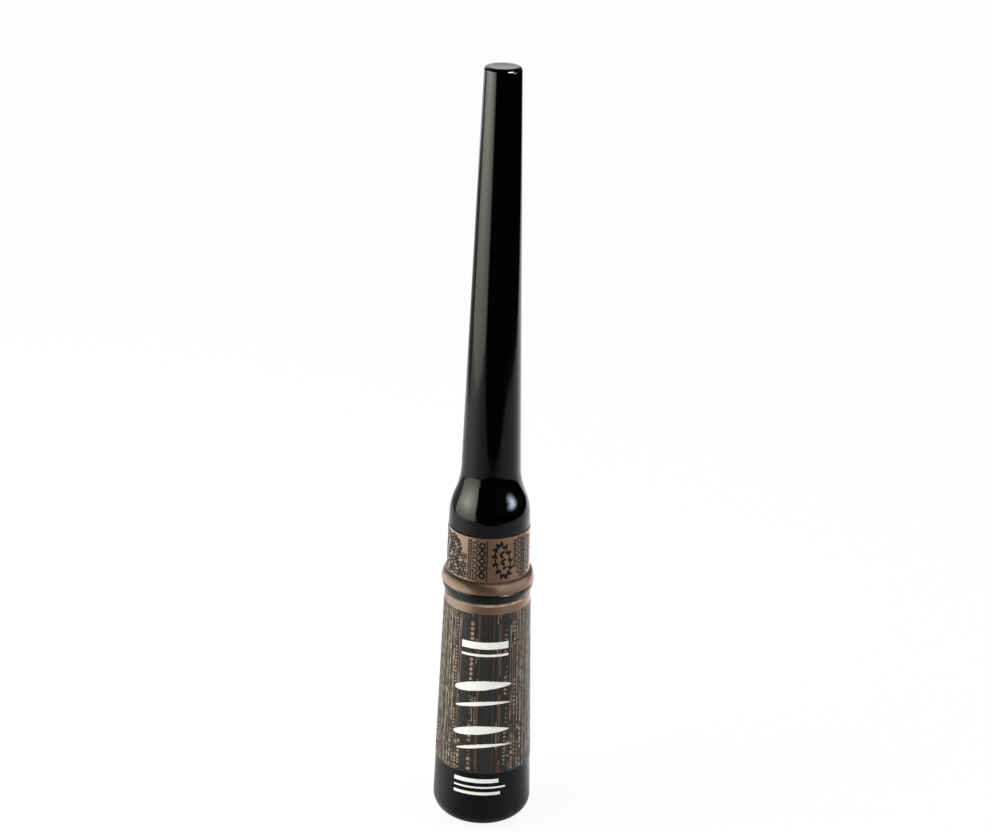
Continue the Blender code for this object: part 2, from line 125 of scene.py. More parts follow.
class EyelinerSizes(bpy.types.PropertyGroup):
    """Sizes of the visible pieces that a user would change."""

    segments: IntProperty(
        name="Segments", description="Facets round the large turned pieces", default=192, min=48
    )
    shell_base_radius: length("Bottle base radius", 8.15, "Radius of the bottle's cone at its base")
    shell_top_radius: length(
        "Bottle mouth radius", 6.94, "Radius of the bottle's cone at its mouth"
    )
    shell_foot_rounding: length("Foot rounding", 3.0, "Rounding between the foot and the wall")
    field_foot: length("Field foot", 10.45, "Height where the printed field begins")
    field_top: length("Field top", 38.8, "Height where the printed field ends")
    ink_relief: length("Ink relief", 0.03, "How far the print stands proud of the lacquer")
    ink_sunk: length("Ink hold", 0.01, "How far the print reaches into the lacquer")
    handle_tip_radius: length("Handle tip radius", 2.9, "Radius of the handle at its tip")
    handle_taper_radius: length(
        "Handle taper radius", 5.01, "Radius of the plain taper at its foot"
    )
    handle_rim_rounding: length("Tip rounding", 0.66, "Rounding of the handle's top edge")
    bell_skirt: length("Bell skirt", 1.8, "Height of the bell's upright part")
    bell_rise: length("Bell rise", 7.9, "Height in which the bell runs out into the taper")
    bell_turn: FloatProperty(
        name="Bell turn", description="Share of the rise where the bell's curve turns",
        default=0.43, min=0.0, max=1.0, subtype="FACTOR",
    )
    lip_height: length("Lip height", 1.9, "Height of the rounded lip at the collar's foot")
    lip_swell: length("Lip swell", 0.79, "How far the lip stands out from the collar")
    thread_depth: length("Thread depth", 0.45, "Height of the thread's ridge above the neck")
    thread_lead: length("Thread lead", 4.0, "Rise of the thread in one turn")
    neck_radius: length("Neck radius", 4.0, "Outer radius of the vial's neck")
    strands: IntProperty(
        name="Strands", description="Filaments in the brush", default=260, min=60, max=600
    )
    strand_radius: length("Strand radius", 0.055, "Radius of one filament at its root")


class EyelinerColours(bpy.types.PropertyGroup):
    """Colours of the finishes, as a picker shows them."""

    gloss_black: colour("Gloss black", "#020202", "Handle and trim ring")
    lacquer: colour("Taupe lacquer", "#98735A", "Collar and bottle lacquer")
    lacquer_pale: colour("Taupe lacquer, pale", "#A8856C", "Paler flake in the lacquer")
    ink: colour("Charcoal ink", "#1A1E22", "Print on the bottle")
    ink_warm: colour("Charcoal ink, thin", "#332E2A", "Print where its film is thin")
    collar_ink: colour("Black ink", "#060505", "Print on the collar")
    pale_ink: colour("Pale ink", "#A2937F", "Thin lines over the dark print")
    tan_ink: colour("Tan ink", "#B29A82", "Small squares over the dark print")
    # A pale painted highlight along the bottle's rounded mouth edge
    painted_mouth_highlight: colour("Painted mouth highlight", "#C2AD99", "Pale mouth edge, a painted highlight")
    foot_black: colour("Foot black", "#070708", "Painted foot of the bottle")
    white_ink: colour("White ink", "#FCFBF9", "Plain strokes and rules")
    natural: colour("Natural polypropylene", "#D7D9D4", "Vial and its neck")
    milky: colour("Milky polyethylene", "#E3E4E0", "Wiper and seal")
    stain: colour("Liquid stain", "#0A0909", "Dried film of the liquid")
    black_plain: colour("Plain black", "#121213", "Inner cap and stem")
    steel: colour("Stainless steel", "#C6C5C3", "Mixing ball")
    aluminium: colour("Aluminium", "#D9DADC", "Ferrule of the brush")
    filament: colour("Nylon filament", "#0C0B0B", "Brush")


class EyelinerStudio(bpy.types.PropertyGroup):
    """Light levels of the studio, and the place of the camera."""

    softbox: radiance("Softbox", 7.6, "Radiance in the middle of the left softbox")
    softbox_edge: radiance("Softbox edge", 1.7, "Radiance at the edge of the left softbox")
    window: radiance("Window", 16.0, "Radiance in the middle of the right window")
    spark: radiance("Spark", 80.0, "Radiance of the small lamp that sparks on edges")
    pearl_left: radiance("Pearl lamp, left", 0.85, "Radiance of the left lamp on the lacquer")
    pearl_right: radiance("Pearl lamp, right", 0.7, "Radiance of the right lamp on the lacquer")
    pearl_front: radiance("Pearl lamp, front", 0.42, "Radiance of the high lamp on the lacquer")
    backlight: radiance("Backlight", 1.0, "Radiance of the card behind the object")
    ambient: radiance("Ambient", 0.62, "Radiance of the room on matt surfaces")
    camera_distance: length("Camera distance", 340.6, "How far the camera stands in front")
    camera_height: length("Camera height", 201.95, "Height of the camera above the floor")
    camera_aside: length("Camera aside", 0.51, "Sideways place of the camera")
    camera_pitch: tilt("Pitch", 21.15, "Tilt below the horizon")
    camera_roll: tilt("Roll", 1.752, "Turn about the view")
    camera_lens: FloatProperty(
        name="Lens", description="Focal length in millimetres", default=84.25, unit="CAMERA"
    )


def polar(radius, angle, height):
    """Return the point at a radius, angle and height."""
    return Vector((radius * math.cos(angle), radius * math.sin(angle), height))


def rounded(corners, support=0.12 * MM):
    """Round the corners of a closed outline and add loops that keep its long faces flat.

    A corner is radius and height, with a rounding where it has one.
    """
    count = len(corners)
    points = []
    for index, corner in enumerate(corners):
        here = Vector(corner[:2])
        rounding = corner[2] if len(corner) > 2 else 0.0
        if not rounding:
            points.append(here)
            continue
        before = (Vector(corners[index - 1][:2]) - here).normalized()
        after = (Vector(corners[(index + 1) % count][:2]) - here).normalized()
        half = before.angle(after) / 2
        centre = here + (before + after).normalized() * (rounding / math.sin(half))
        first = here + before * (rounding / math.tan(half)) - centre
        last = here + after * (rounding / math.tan(half)) - centre
        sweep = first.angle_signed(last)
        steps = max(3, math.ceil(abs(sweep) / math.radians(9)))
        start = math.atan2(first.y, first.x)
        for step in range(steps + 1):
            angle = start - sweep * step / steps
            points.append(centre + rounding * Vector((math.cos(angle), math.sin(angle))))
    held = []
    for here, after in zip(points, points[1:] + points[:1]):
        held.append(here)
        gap = (after - here).length
        if gap > 4 * support:
            held.append(here.lerp(after, support / gap))
            held.append(after.lerp(here, support / gap))
    return [(max(point.x, 0.0), point.y) for point in held]


def turned(outline, segments):
    """Return the vertices and faces of a closed outline turned about the axis."""
    verts = []
    rings = []
    for radius, height in outline:
        start = len(verts)
        if radius < MM / 1000:
            verts.append(Vector((0.0, 0.0, height)))
            rings.append([start] * segments)
            continue
        for step in range(segments):
            verts.append(polar(radius, FRONT + math.tau * step / segments, height))
        rings.append(list(range(start, start + segments)))
    faces = []
    for lower, upper in zip(rings, rings[1:] + rings[:1]):
        for step in range(segments):
            beside = (step + 1) % segments
            corners = (lower[step], lower[beside], upper[beside], upper[step])
            face = list(dict.fromkeys(corners))
            if len(face) > 2:
                faces.append(face)
    return verts, faces


def swept(sections):
    """Return the vertices and faces of a capped solid that runs through equal sections."""
    count = len(sections[0])
    verts = [corner for section in sections for corner in section]
    faces = [list(range(count)), list(range(len(verts) - count, len(verts)))]
    for low in range(0, len(verts) - count, count):
        for side in range(count):
            beside = (side + 1) % count
            faces.append([low + side, low + beside, low + count + beside, low + count + side])
    return verts, faces


def tube(path, radii, sides):
    """Return the vertices and faces of a capped tube along a path."""
    angles = [math.tau * side / sides for side in range(sides)]
    sections = []
    for index, (point, radius) in enumerate(zip(path, radii)):
        ahead = path[min(index + 1, len(path) - 1)] - path[max(index - 1, 0)]
        across = ahead.orthogonal().normalized()
        upward = ahead.cross(across).normalized()
        rim = [across * math.cos(angle) + upward * math.sin(angle) for angle in angles]
        sections.append([point + offset * radius for offset in rim])
    return swept(sections)


def add_piece(name, body, solids, makers, choose=None, sharp=32):
    """Join closed solids into one smooth piece that rides on a body, in materials of makers."""
    verts = []
    faces = []
    for solid_verts, solid_faces in solids:
        shift = len(verts)
        verts.extend(solid_verts)
        faces.extend([shift + corner for corner in face] for face in solid_faces)
    mesh = bpy.data.meshes.new(name)
    mesh.from_pydata(verts, [], faces)
    bm = bmesh.new()
    bm.from_mesh(mesh)
    bmesh.ops.recalc_face_normals(bm, faces=bm.faces)
    bm.to_mesh(mesh)
    bm.free()
    mesh.shade_smooth()
    mesh.set_sharp_from_angle(angle=math.radians(sharp))
    for maker in makers:
        mesh.materials.append(finish_of(maker))
    if choose:
        for face in mesh.polygons:
            face.material_index = choose(face.center)
    piece = bpy.data.objects.new(name, mesh)
    bpy.context.scene.collection.objects.link(piece)
    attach(piece, body)
    return piece


def turned_piece(name, body, corners, maker, segments, support=0.12 * MM, sharp=32):
    """Turn a rounded outline into a piece of one material that rides on a body."""
    solids = [turned(rounded(corners, support), segments)]
    return add_piece(name, body, solids, [maker], sharp=sharp)


def add_node(tree, kind, inputs=(), **settings):
    """Add a shader node, set it up, and give its inputs plain values or links.

    A link is given as a socket, or as a node whose first output is meant.
    """
    node = tree.nodes.new("ShaderNode" + kind)
    for name, value in settings.items():
        setattr(node, name, value)
    for key, value in dict(inputs).items():
        if isinstance(value, bpy.types.Node):
            value = value.outputs[0]
        if isinstance(value, bpy.types.NodeSocket):
            tree.links.new(value, node.inputs[key])
        else:
            node.inputs[key].default_value = value
    return node


def settle(shader, base, roughness, **constants):
    """Give a shader its plain colour and roughness, and the constants of its material."""
    shader.inputs["Base Color"].default_value = (*base, 1.0)
    shader.inputs["Roughness"].default_value = roughness
    for key, value in constants.items():
        shader.inputs[key.replace("_", " ")].default_value = value


def emptied(owner):
    """Return the node tree of a material or a world, with nothing in it."""
    owner.use_nodes = True
    owner.node_tree.nodes.clear()
    return owner.node_tree


def spots(tree, width, detail=2.0):
    """Return a pattern of soft spots about so wide, in the piece's own metres."""
    place = add_node(tree, "TexCoord").outputs["Object"]
    look = {"Vector": place, "Scale": 1 / width, "Detail": detail, "Roughness": 0.55}
    return add_node(tree, "TexNoise", look)


def streaks(tree, radius, across, along, detail=2.0):
    """Return a pattern drawn out round or up a turned piece: so wide across, so long along it."""
    place = add_node(tree, "TexCoord").outputs["Object"]
    parts = add_node(tree, "SeparateXYZ", {0: place}).outputs
    mirrored = add_node(tree, "Math", {0: parts["Y"], 1: -1.0}, operation="MULTIPLY")
    angle = add_node(tree, "Math", {0: parts["X"], 1: mirrored}, operation="ARCTAN2")
    arc = add_node(tree, "Math", {0: angle, 1: radius / across}, operation="MULTIPLY")
    rise = add_node(tree, "Math", {0: parts["Z"], 1: 1 / along}, operation="MULTIPLY")
    wrapped = add_node(tree, "CombineXYZ", {"X": arc, "Y": rise})
    look = {"Vector": wrapped, "Scale": 1.0, "Detail": detail, "Roughness": 0.55}
    return add_node(tree, "TexNoise", look)


def weighed(tree, first, second, share_of_first):
    """Return a pattern made of two, each with its share."""
    rest = add_node(
        tree, "Math", {0: second, 1: 1 - share_of_first, 2: 0.0}, operation="MULTIPLY_ADD"
    )
    return add_node(tree, "Math", {0: first, 1: share_of_first, 2: rest}, operation="MULTIPLY_ADD")


def finish(tree, shader, tint=None, edges=(0.35, 0.65), gloss=None, bumps=()):
    """Let patterns tint a shader, vary its gloss and lift its skin.

    The tint is a pattern with two swatches, blended as it passes from edge to edge, the gloss is
    a pattern with two roughnesses, and the bumps are patterns with depths in millimetres.
    """
    if tint:
        factor, first, second = tint
        if edges:
            factor = add_node(
                tree, "MapRange", {"Value": factor, "From Min": edges[0], "From Max": edges[1]}
            )
        blend = {0: factor, 6: (*first, 1.0), 7: (*second, 1.0)}
        mixed = add_node(tree, "Mix", blend, data_type="RGBA")
        tree.links.new(mixed.outputs[2], shader.inputs["Base Color"])
    if gloss:
        source, low, high, start, stop = (*gloss, 0.35, 0.65)[:5]
        range_of = {"From Min": start, "From Max": stop, "To Min": low, "To Max": high}
        rough = add_node(tree, "MapRange", {"Value": source, **range_of})
        tree.links.new(rough.outputs[0], shader.inputs["Roughness"])
    below = {}
    for source, depth in bumps:
        bump = add_node(
            tree, "Bump", {"Strength": 1.0, "Distance": depth * MM, "Height": source, **below}
        )
        below = {"Normal": bump.outputs["Normal"]}
    if below:
        tree.links.new(below["Normal"], shader.inputs["Normal"])


def toned(swatch, factor):
    """Return a swatch made darker or paler."""
    return tuple(channel * factor for channel in swatch)


def gloss_moulded_abs(colours, tree, shader):
    """Black ABS, injection moulded in a polished tool and handled a little."""
    settle(shader, colours.gloss_black, 0.07, IOR=1.54)
    # A polished tool leaves long soft waves about 3 mm wide, which bend reflections slightly.
    waves = spots(tree, 3 * MM, 1.0)
    # Wiping leaves hair scratches about 0.03 mm wide, drawn 0.12 mm wide so that they show.
    hairs = streaks(tree, 4 * MM, 0.12 * MM, 6 * MM)
    # Skin grease dulls the gloss in patches about 5 mm wide.
    patches = spots(tree, 5 * MM)
    finish(tree, shader, gloss=(patches, 0.055, 0.1), bumps=((waves, 0.003), (hairs, 0.0002)))


def sprayed_taupe_lacquer(colours, tree, shader):
    """Pearl lacquer, metal flake under clear varnish: pale at the sides, deep in front."""
    settle(
        shader, colours.lacquer, 0.34, IOR=1.5, Metallic=0.8, Coat_Weight=0.6, Coat_Roughness=0.15,
    )
    # Spray flake is finer than 0.05 mm, drawn 0.12 mm wide so that it shows.
    flake = spots(tree, 0.12 * MM)
    # The film is thicker and darker in drifts about 4 mm wide.
    drift = spots(tree, 4 * MM)
    # Sprayed film has an orange peel about 0.8 mm wide.
    peel = spots(tree, 0.8 * MM, 1.0)
    tint = (weighed(tree, drift, flake, 0.45), colours.lacquer, colours.lacquer_pale)
    finish(tree, shader, tint, (0.4, 0.6), (drift, 0.3, 0.38), ((peel, 0.0012),))


def transfer_printed_ink(colours, tree, shader):
    """Charcoal transfer print under varnish: dark satin film with fine upright streaks."""
    settle(shader, colours.ink, 0.4, IOR=1.5, Coat_Weight=0.45, Coat_Roughness=0.16)
    # The transfer roller leaves streaks about 0.1 mm wide and some millimetres long.
    drawn = streaks(tree, 7.2 * MM, 0.1 * MM, 4 * MM, 3.0)
    # Thin spots in the film are about 0.2 mm across.
    specks = spots(tree, 0.2 * MM)
    tint = (weighed(tree, specks, drawn, 0.4), colours.ink, colours.ink_warm)
    finish(tree, shader, tint, (0.45, 0.62), (specks, 0.34, 0.46), ((specks, 0.002),))


def mouth_edge_painted_highlight(colours, tree, shader):
    """Painted highlight on the bottle's rounded mouth edge: pale satin lacquer in uneven patches.
    """
    settle(shader, colours.painted_mouth_highlight, 0.3, IOR=1.5)
    # The painted highlight breaks into patches about 1.5 mm long.
    patches = spots(tree, 1.5 * MM)
    tint = (patches, colours.lacquer_pale, colours.painted_mouth_highlight)
    finish(tree, shader, tint, (0.4, 0.62), (patches, 0.24, 0.36), ((patches, 0.001),))


def screen_ink(swatch, tree, shader):
    """Thin pale screen ink: a satin film, uneven where the dark print shows through."""
    settle(shader, swatch, 0.42, IOR=1.5)
    # The film is thin in patches about 0.9 mm wide, and has the mesh's grain of 0.15 mm.
    patches = spots(tree, 0.9 * MM, 3.0)
    grain = spots(tree, 0.15 * MM)
    tint = (patches, toned(swatch, 0.38), swatch)
    finish(tree, shader, tint, (0.38, 0.6), (grain, 0.36, 0.48), ((grain, 0.002),))


def pale_screen_ink(colours, tree, shader):
    """Grey-beige lines over the dark print."""
    screen_ink(colours.pale_ink, tree, shader)


def tan_screen_ink(colours, tree, shader):
    """Tan squares over the dark print."""
    screen_ink(colours.tan_ink, tree, shader)


def black_screen_ink(colours, tree, shader):
    """Black screen ink: a dense satin film with the mesh's faint grain."""
    ink = colours.collar_ink
    settle(shader, ink, 0.45, IOR=1.5)
    # A screen of about 120 threads a centimetre leaves a grain of 0.08 mm, drawn 0.15 mm wide.
    grain = spots(tree, 0.15 * MM)
    tint = (grain, ink, toned(ink, 2.2))
    finish(tree, shader, tint, (0.45, 0.65), (grain, 0.34, 0.46), ((grain, 0.002),))


def white_screen_ink(colours, tree, shader):
    """White screen ink: an opaque satin film with the mesh's faint grain."""
    ink = colours.white_ink
    settle(shader, ink, 0.42, IOR=1.5, Coat_Weight=0.3, Coat_Roughness=0.2)
    # A screen of about 120 threads a centimetre leaves a grain of 0.08 mm, drawn 0.15 mm wide.
    grain = spots(tree, 0.15 * MM)
    finish(tree, shader, (grain, toned(ink, 0.92), ink), (0.3, 0.55), bumps=((grain, 0.003),))


def sprayed_black_lacquer(colours, tree, shader):
    """Black lacquer on the foot, with scuffs near the edge that it stands on."""
    black = colours.foot_black
    settle(shader, black, 0.28, IOR=1.45)
    # Sprayed film has an orange peel about 0.8 mm wide.
    peel = spots(tree, 0.8 * MM, 1.0)
    # Standing and sliding scuffs the lowest 2 mm in marks about 0.15 mm wide.
    scuffs = streaks(tree, 8 * MM, 1.5 * MM, 0.15 * MM, 4.0)
    place = add_node(tree, "TexCoord").outputs["Object"]
    low_down = {"From Min": 0.3 * MM, "From Max": 2.2 * MM, "To Min": 1.0, "To Max": 0.0}
    height = add_node(tree, "SeparateXYZ", {0: place}).outputs["Z"]
    near_floor = add_node(tree, "MapRange", {"Value": height, **low_down})
    scuffed = add_node(tree, "MapRange", {"Value": scuffs, "From Min": 0.5, "From Max": 0.62})
    marks = add_node(tree, "Math", {0: near_floor, 1: scuffed}, operation="MULTIPLY")
    rough = add_node(tree, "Math", {0: marks, 1: 0.28, 2: 0.26}, operation="MULTIPLY_ADD")
    tree.links.new(rough.outputs[0], shader.inputs["Roughness"])
    worn = tuple(channel * 3.0 + 0.01 for channel in black)
    finish(tree, shader, (marks, black, worn), None, bumps=((peel, 0.0012),))


def natural_polypropylene(colours, tree, shader):
    """Natural polypropylene, moulded: milky, faintly see-through, with flow streaks."""
    plain = colours.natural
    settle(shader, plain, 0.36, IOR=1.49, Subsurface_Weight=0.25, Subsurface_Scale=0.6 * MM)
    # Melt flows up the wall in streaks about 0.8 mm wide.
    flow = streaks(tree, 4 * MM, 0.8 * MM, 6 * MM)
    # The tool's satin leaves a grain about 0.25 mm wide.
    grain = spots(tree, 0.25 * MM, 3.0)
    tint = (flow, toned(plain, 0.9), plain)
    finish(tree, shader, tint, gloss=(flow, 0.3, 0.42), bumps=((grain, 0.002),))


def waxy_polyethylene(colours, tree, shader):
    """Soft polyethylene, moulded: waxy, stained by the liquid where the stem is wiped."""
    settle(shader, colours.milky, 0.45, IOR=1.51, Subsurface_Weight=0.2, Subsurface_Scale=0.5 * MM)
    place = add_node(tree, "TexCoord").outputs["Object"]
    flat = add_node(tree, "VectorMath", {0: place, 1: (1.0, 1.0, 0.0)}, operation="MULTIPLY")
    radius = add_node(tree, "VectorMath", {0: flat}, operation="LENGTH")
    # The dried film creeps over the bore's edge in tongues about 0.6 mm wide.
    tongues = spots(tree, 0.6 * MM, 3.0)
    reach = {0: tongues, 1: -0.5 * MM, 2: radius.outputs["Value"]}
    edge = add_node(tree, "Math", reach, operation="MULTIPLY_ADD")
    bore = {"From Min": 2.1 * MM, "From Max": 2.3 * MM, "To Min": 1.0, "To Max": 0.0}
    stained = add_node(tree, "MapRange", {"Value": edge, **bore})
    tint = (stained, colours.milky, colours.stain)
    finish(tree, shader, tint, None, (stained, 0.48, 0.22, 0.0, 1.0), ((tongues, 0.01),))


def foamed_polyethylene(colours, tree, shader):
    """Foamed polyethylene washer: dull, soft, with closed cells cut open at its faces."""
    foam = colours.milky
    settle(shader, foam, 0.75, IOR=1.45, Sheen_Weight=0.1)
    # Foam cells are about 0.15 mm wide.
    place = add_node(tree, "TexCoord").outputs["Object"]
    cells = add_node(tree, "TexVoronoi", {"Vector": place, "Scale": 1 / (0.15 * MM)})
    cut = cells.outputs["Distance"]
    finish(tree, shader, (cut, foam, toned(foam, 0.72)), (0.1, 0.7), bumps=((cut, 0.03),))


def satin_black_polypropylene(colours, tree, shader):
    """Black polypropylene, moulded in a spark-eroded tool: fine grain, satin."""
    black = colours.black_plain
    settle(shader, black, 0.42, IOR=1.49)
    # Spark erosion leaves a grain about 0.1 mm wide.
    grain = spots(tree, 0.1 * MM)
    tint = (grain, black, toned(black, 1.8))
    finish(tree, shader, tint, gloss=(grain, 0.36, 0.5), bumps=((grain, 0.004),))


def wiped_black_acetal(colours, tree, shader):
    """Black acetal, moulded and wiped along its length: smooth, with a thin wet film."""
    black = colours.black_plain
    settle(shader, black, 0.24, IOR=1.48, Coat_Weight=0.5, Coat_Roughness=0.08)
    # The wiper's lip leaves upright streaks about 0.15 mm wide.
    wiped = streaks(tree, 1.2 * MM, 0.15 * MM, 5 * MM)
    tint = (wiped, colours.stain, black)
    finish(tree, shader, tint, gloss=(wiped, 0.16, 0.34), bumps=((wiped, 0.002),))


def drawn_crimped_aluminium(colours, tree, shader):
    """Thin aluminium sleeve, drawn and crimped: bright, with fine lines round it."""
    metal = colours.aluminium
    settle(shader, metal, 0.26, Metallic=1.0, Anisotropic=0.4)
    # The crimping rollers leave lines about 0.03 mm apart, drawn 0.08 mm apart.
    lines = streaks(tree, 1.3 * MM, 3 * MM, 0.08 * MM)
    tint = (lines, toned(metal, 0.8), metal)
    finish(tree, shader, tint, gloss=(lines, 0.2, 0.36), bumps=((lines, 0.003),))


def lapped_stainless_steel(colours, tree, shader):
    """Stainless steel ball, lapped bright, with a few short tumbling marks."""
    metal = colours.steel
    settle(shader, metal, 0.1, Metallic=1.0)
    # Tumbling marks are about 0.1 mm wide.
    marks = spots(tree, 0.1 * MM, 4.0)
    tint = (marks, toned(metal, 0.86), metal)
    finish(tree, shader, tint, gloss=(marks, 0.07, 0.18), bumps=((marks, 0.001),))


def drawn_nylon_filament(colours, tree, shader):
    """Black nylon filaments, drawn and tapered: soft gloss along each strand."""
    nylon = colours.filament
    settle(shader, nylon, 0.34, IOR=1.53, Sheen_Weight=0.1)
    # Filaments differ a little from one to the next, about 0.1 mm apart.
    strands = streaks(tree, 1 * MM, 0.1 * MM, 8 * MM, 1.0)
    tint = (strands, nylon, toned(nylon, 3.0))
    finish(tree, shader, tint, gloss=(strands, 0.26, 0.42), bumps=((strands, 0.004),))


def finish_of(maker):
    """Return the material that is named for its maker, made once and then shared."""
    material = bpy.data.materials.get(maker.__name__)
    if not material:
        material = bpy.data.materials.new(maker.__name__)
        material.use_nodes = True
        shader = material.node_tree.nodes["Principled BSDF"]
        maker(bpy.context.scene.eyeliner_colours, material.node_tree, shader)
        material.diffuse_color = shader.inputs["Base Color"].default_value
    return material


def cell(points, faces=None):
    """Return a flat motif: its points of arc and height, and the faces between them."""
    return points, faces or [list(range(len(points)))]


def bar(left, right, low, high, widest=0.7 * MM):
    """Return an upright bar, cut into columns narrow enough to follow the curve."""
    columns = max(1, math.ceil((right - left) / widest))
    points = []
    for column in range(columns + 1):
        arc = left + (right - left) * column / columns
        points += [(arc, low), (arc, high)]
    faces = [[2 * c, 2 * c + 2, 2 * c + 3, 2 * c + 1] for c in range(columns)]
    return cell(points, faces)


def away(arc, height, reach, angle):
    """Return the flat point at a reach and an angle from another."""
    return arc + reach * math.cos(angle), height + reach * math.sin(angle)


def evenly(low, high, pitch):
    """Return heights at an even pitch, as many as fit between two ends."""
    count = max(1, int((high - low) / pitch))
    first = (low + high - pitch * (count - 1)) / 2
    return [first + pitch * index for index in range(count)]


def disc(arc, height, radius, sides, rng=None):
    """Return a dot, uneven where a source of chance is given."""
    points = []
    for side in range(sides):
        reach = radius * (rng.uniform(0.75, 1.2) if rng else 1.0)
        points.append(away(arc, height, reach, math.tau * side / sides))
    return cell(points)


def ring(arc, height, outer, inner, sides=20):
    """Return a flat ring."""
    count = 2 * sides
    points = []
    faces = []
    for low in range(0, count, 2):
        points += [away(arc, height, radius, math.tau * low / count) for radius in (inner, outer)]
        faces.append([low, low + 1, (low + 3) % count, (low + 2) % count])
    return cell(points, faces)


def ribbon(middle, half_width):
    """Return a strip along a line of points, with a half width at each."""
    points = []
    for index, here in enumerate(middle):
        before = Vector(middle[max(index - 1, 0)])
        after = Vector(middle[min(index + 1, len(middle) - 1)])
        along = (after - before).normalized()
        side = Vector((along.y, -along.x)) * half_width[index]
        points += [tuple(Vector(here) + side), tuple(Vector(here) - side)]
    faces = [[2 * i, 2 * i + 2, 2 * i + 3, 2 * i + 1] for i in range(len(middle) - 1)]
    return cell(points, faces)


# Upper halves of the windows in the columns, in units of their radius
WINDOWS = {
    "bead": [(-math.cos(math.pi * s / 6), math.sin(math.pi * s / 6)) for s in range(7)],
    "square": [(-1.0, 0.0), (-1.0, 1.0), (1.0, 1.0), (1.0, 0.0)],
    "lozenge": [(-1.0, 0.0), (0.0, 1.6), (1.0, 0.0)],
    "ladder": [(-1.4, 0.0), (-1.4, 0.45), (1.4, 0.45), (1.4, 0.0)],
}


def windowed(left, right, low, high, kind, radius, pitch):
    """Return a bar pierced by a run of windows, as the pieces between their middles."""
    middle = (left + right) / 2
    upper = WINDOWS[kind]
    lower = [(across, -up) for across, up in reversed(upper)]
    edges = [low] + evenly(low, high, pitch) + [high]
    motifs = []
    for index, (start, stop) in enumerate(zip(edges, edges[1:])):
        points = [(left, start)]
        if index:
            points += [(middle + radius * a, start + radius * b) for a, b in upper]
        points += [(right, start), (right, stop)]
        if index < len(edges) - 2:
            points += [(middle + radius * a, stop + radius * b) for a, b in lower]
        points.append((left, stop))
        motifs.append(cell(points))
    return motifs


def pinstripes(left, right, low, high, rng, bold, fine):
    """Return dark strips with gaps, each gap closed here and there.

    So many of the gaps are bold, and the others are narrow by a fine factor.
    """
    motifs = []
    arc = left
    while arc < right:
        strip = min(rng.choice((0.12, 0.16, 0.2, 0.26, 0.34)) * MM, right - arc)
        motifs.append(bar(arc, arc + strip, low, high))
        arc += strip
        broad = rng.random() < bold
        gap = rng.uniform(0.14, 0.24) * MM if broad else rng.uniform(0.05, 0.11) * fine * MM
        gap = min(gap, right - arc)
        if gap <= 0.01 * MM:
            break
        height = low + rng.uniform(0.0, 5.0) * MM
        while height < high:
            stop = min(height + rng.uniform(0.4, 3.4) * MM, high)
            motifs.append(bar(arc, arc + gap, height, stop))
            height = stop + rng.uniform(2.5, 11.0) * MM
        arc += gap
    return motifs


def pierced_column(left, right, low, high, kind, rng):
    """Return a dark column with runs of windows and solid stretches between them."""
    width = right - left
    radius = width * (0.26 if kind == "bead" else 0.27)
    pitch = radius * {"lozenge": 4.2, "ladder": 1.9}.get(kind, 3.0)
    motifs = []
    height = low
    while height < high:
        solid = min(height + rng.uniform(0.5, 3.5) * MM, high)
        motifs.append(bar(left, right, height, solid))
        run = min(solid + pitch * rng.randint(3, 8), high)
        if run - solid > pitch:
            motifs += windowed(left, right, solid, run, kind, radius, pitch)
        elif run > solid:
            motifs.append(bar(left, right, solid, run))
        height = run
    return motifs


# Bands of the dark field in order: kind, width in millimetres, share of broad gaps
FIELD_BANDS = (
    ("pinstripes", 1.5, 0.75), ("ladder", 0.6, 0.0), ("bead", 0.7, 0.0), ("pinstripes", 1.1, 0.8),
    ("pinstripes", 1.2, 0.25), ("square", 0.8, 0.0), ("pinstripes", 1.0, 0.1),
    ("hairlines", 2.4, 0.0), ("solid", 0.8, 0.0), ("pinstripes", 1.1, 0.2), ("lozenge", 0.8, 0.0),
    ("pinstripes", 1.3, 0.8), ("bead", 0.65, 0.0), ("pinstripes", 1.75, 0.75),
)


def field_motifs(low, high, girth, rng):
    """Return the bottle's print: upright bands all the way round, with bare lines between."""
    total = sum(width for _, width, _ in FIELD_BANDS)
    repeats = round(girth / (total * MM))
    scale = girth / (total * repeats)
    motifs = []
    arc = -girth / 2
    for _ in range(repeats):
        for kind, width, bold in FIELD_BANDS:
            right = arc + width * scale
            inner = right - rng.uniform(0.03, 0.1) * MM
            if kind in ("pinstripes", "hairlines"):
                fine = 0.28 if bold < 0.2 else 0.6
                motifs += pinstripes(arc, inner, low, high, rng, bold, fine)
            elif kind == "solid":
                motifs.append(bar(arc, inner, low, high))
            else:
                motifs += pierced_column(arc, inner, low, high, kind, rng)
            arc = right
    return motifs


# Columns of tan squares: place from the middle, size, pitch, and runs as shares of the height
PALE_COLUMNS = (
    (-5.2, 0.34, 0.62, ((0.0, 0.12), (0.22, 0.4), (0.55, 0.8), (0.88, 0.97))),
    (-2.3, 0.55, 0.86, ((0.02, 0.12), (0.2, 0.32), (0.56, 0.74), (0.84, 0.98))),
    (-1.5, 0.24, 0.5, ((0.3, 0.5), (0.7, 0.86))),
    (3.4, 0.34, 0.7, ((0.05, 0.3), (0.5, 0.62), (0.74, 0.9))),
    (5.2, 0.4, 0.74, ((0.1, 0.22), (0.36, 0.6), (0.8, 0.95))),
)
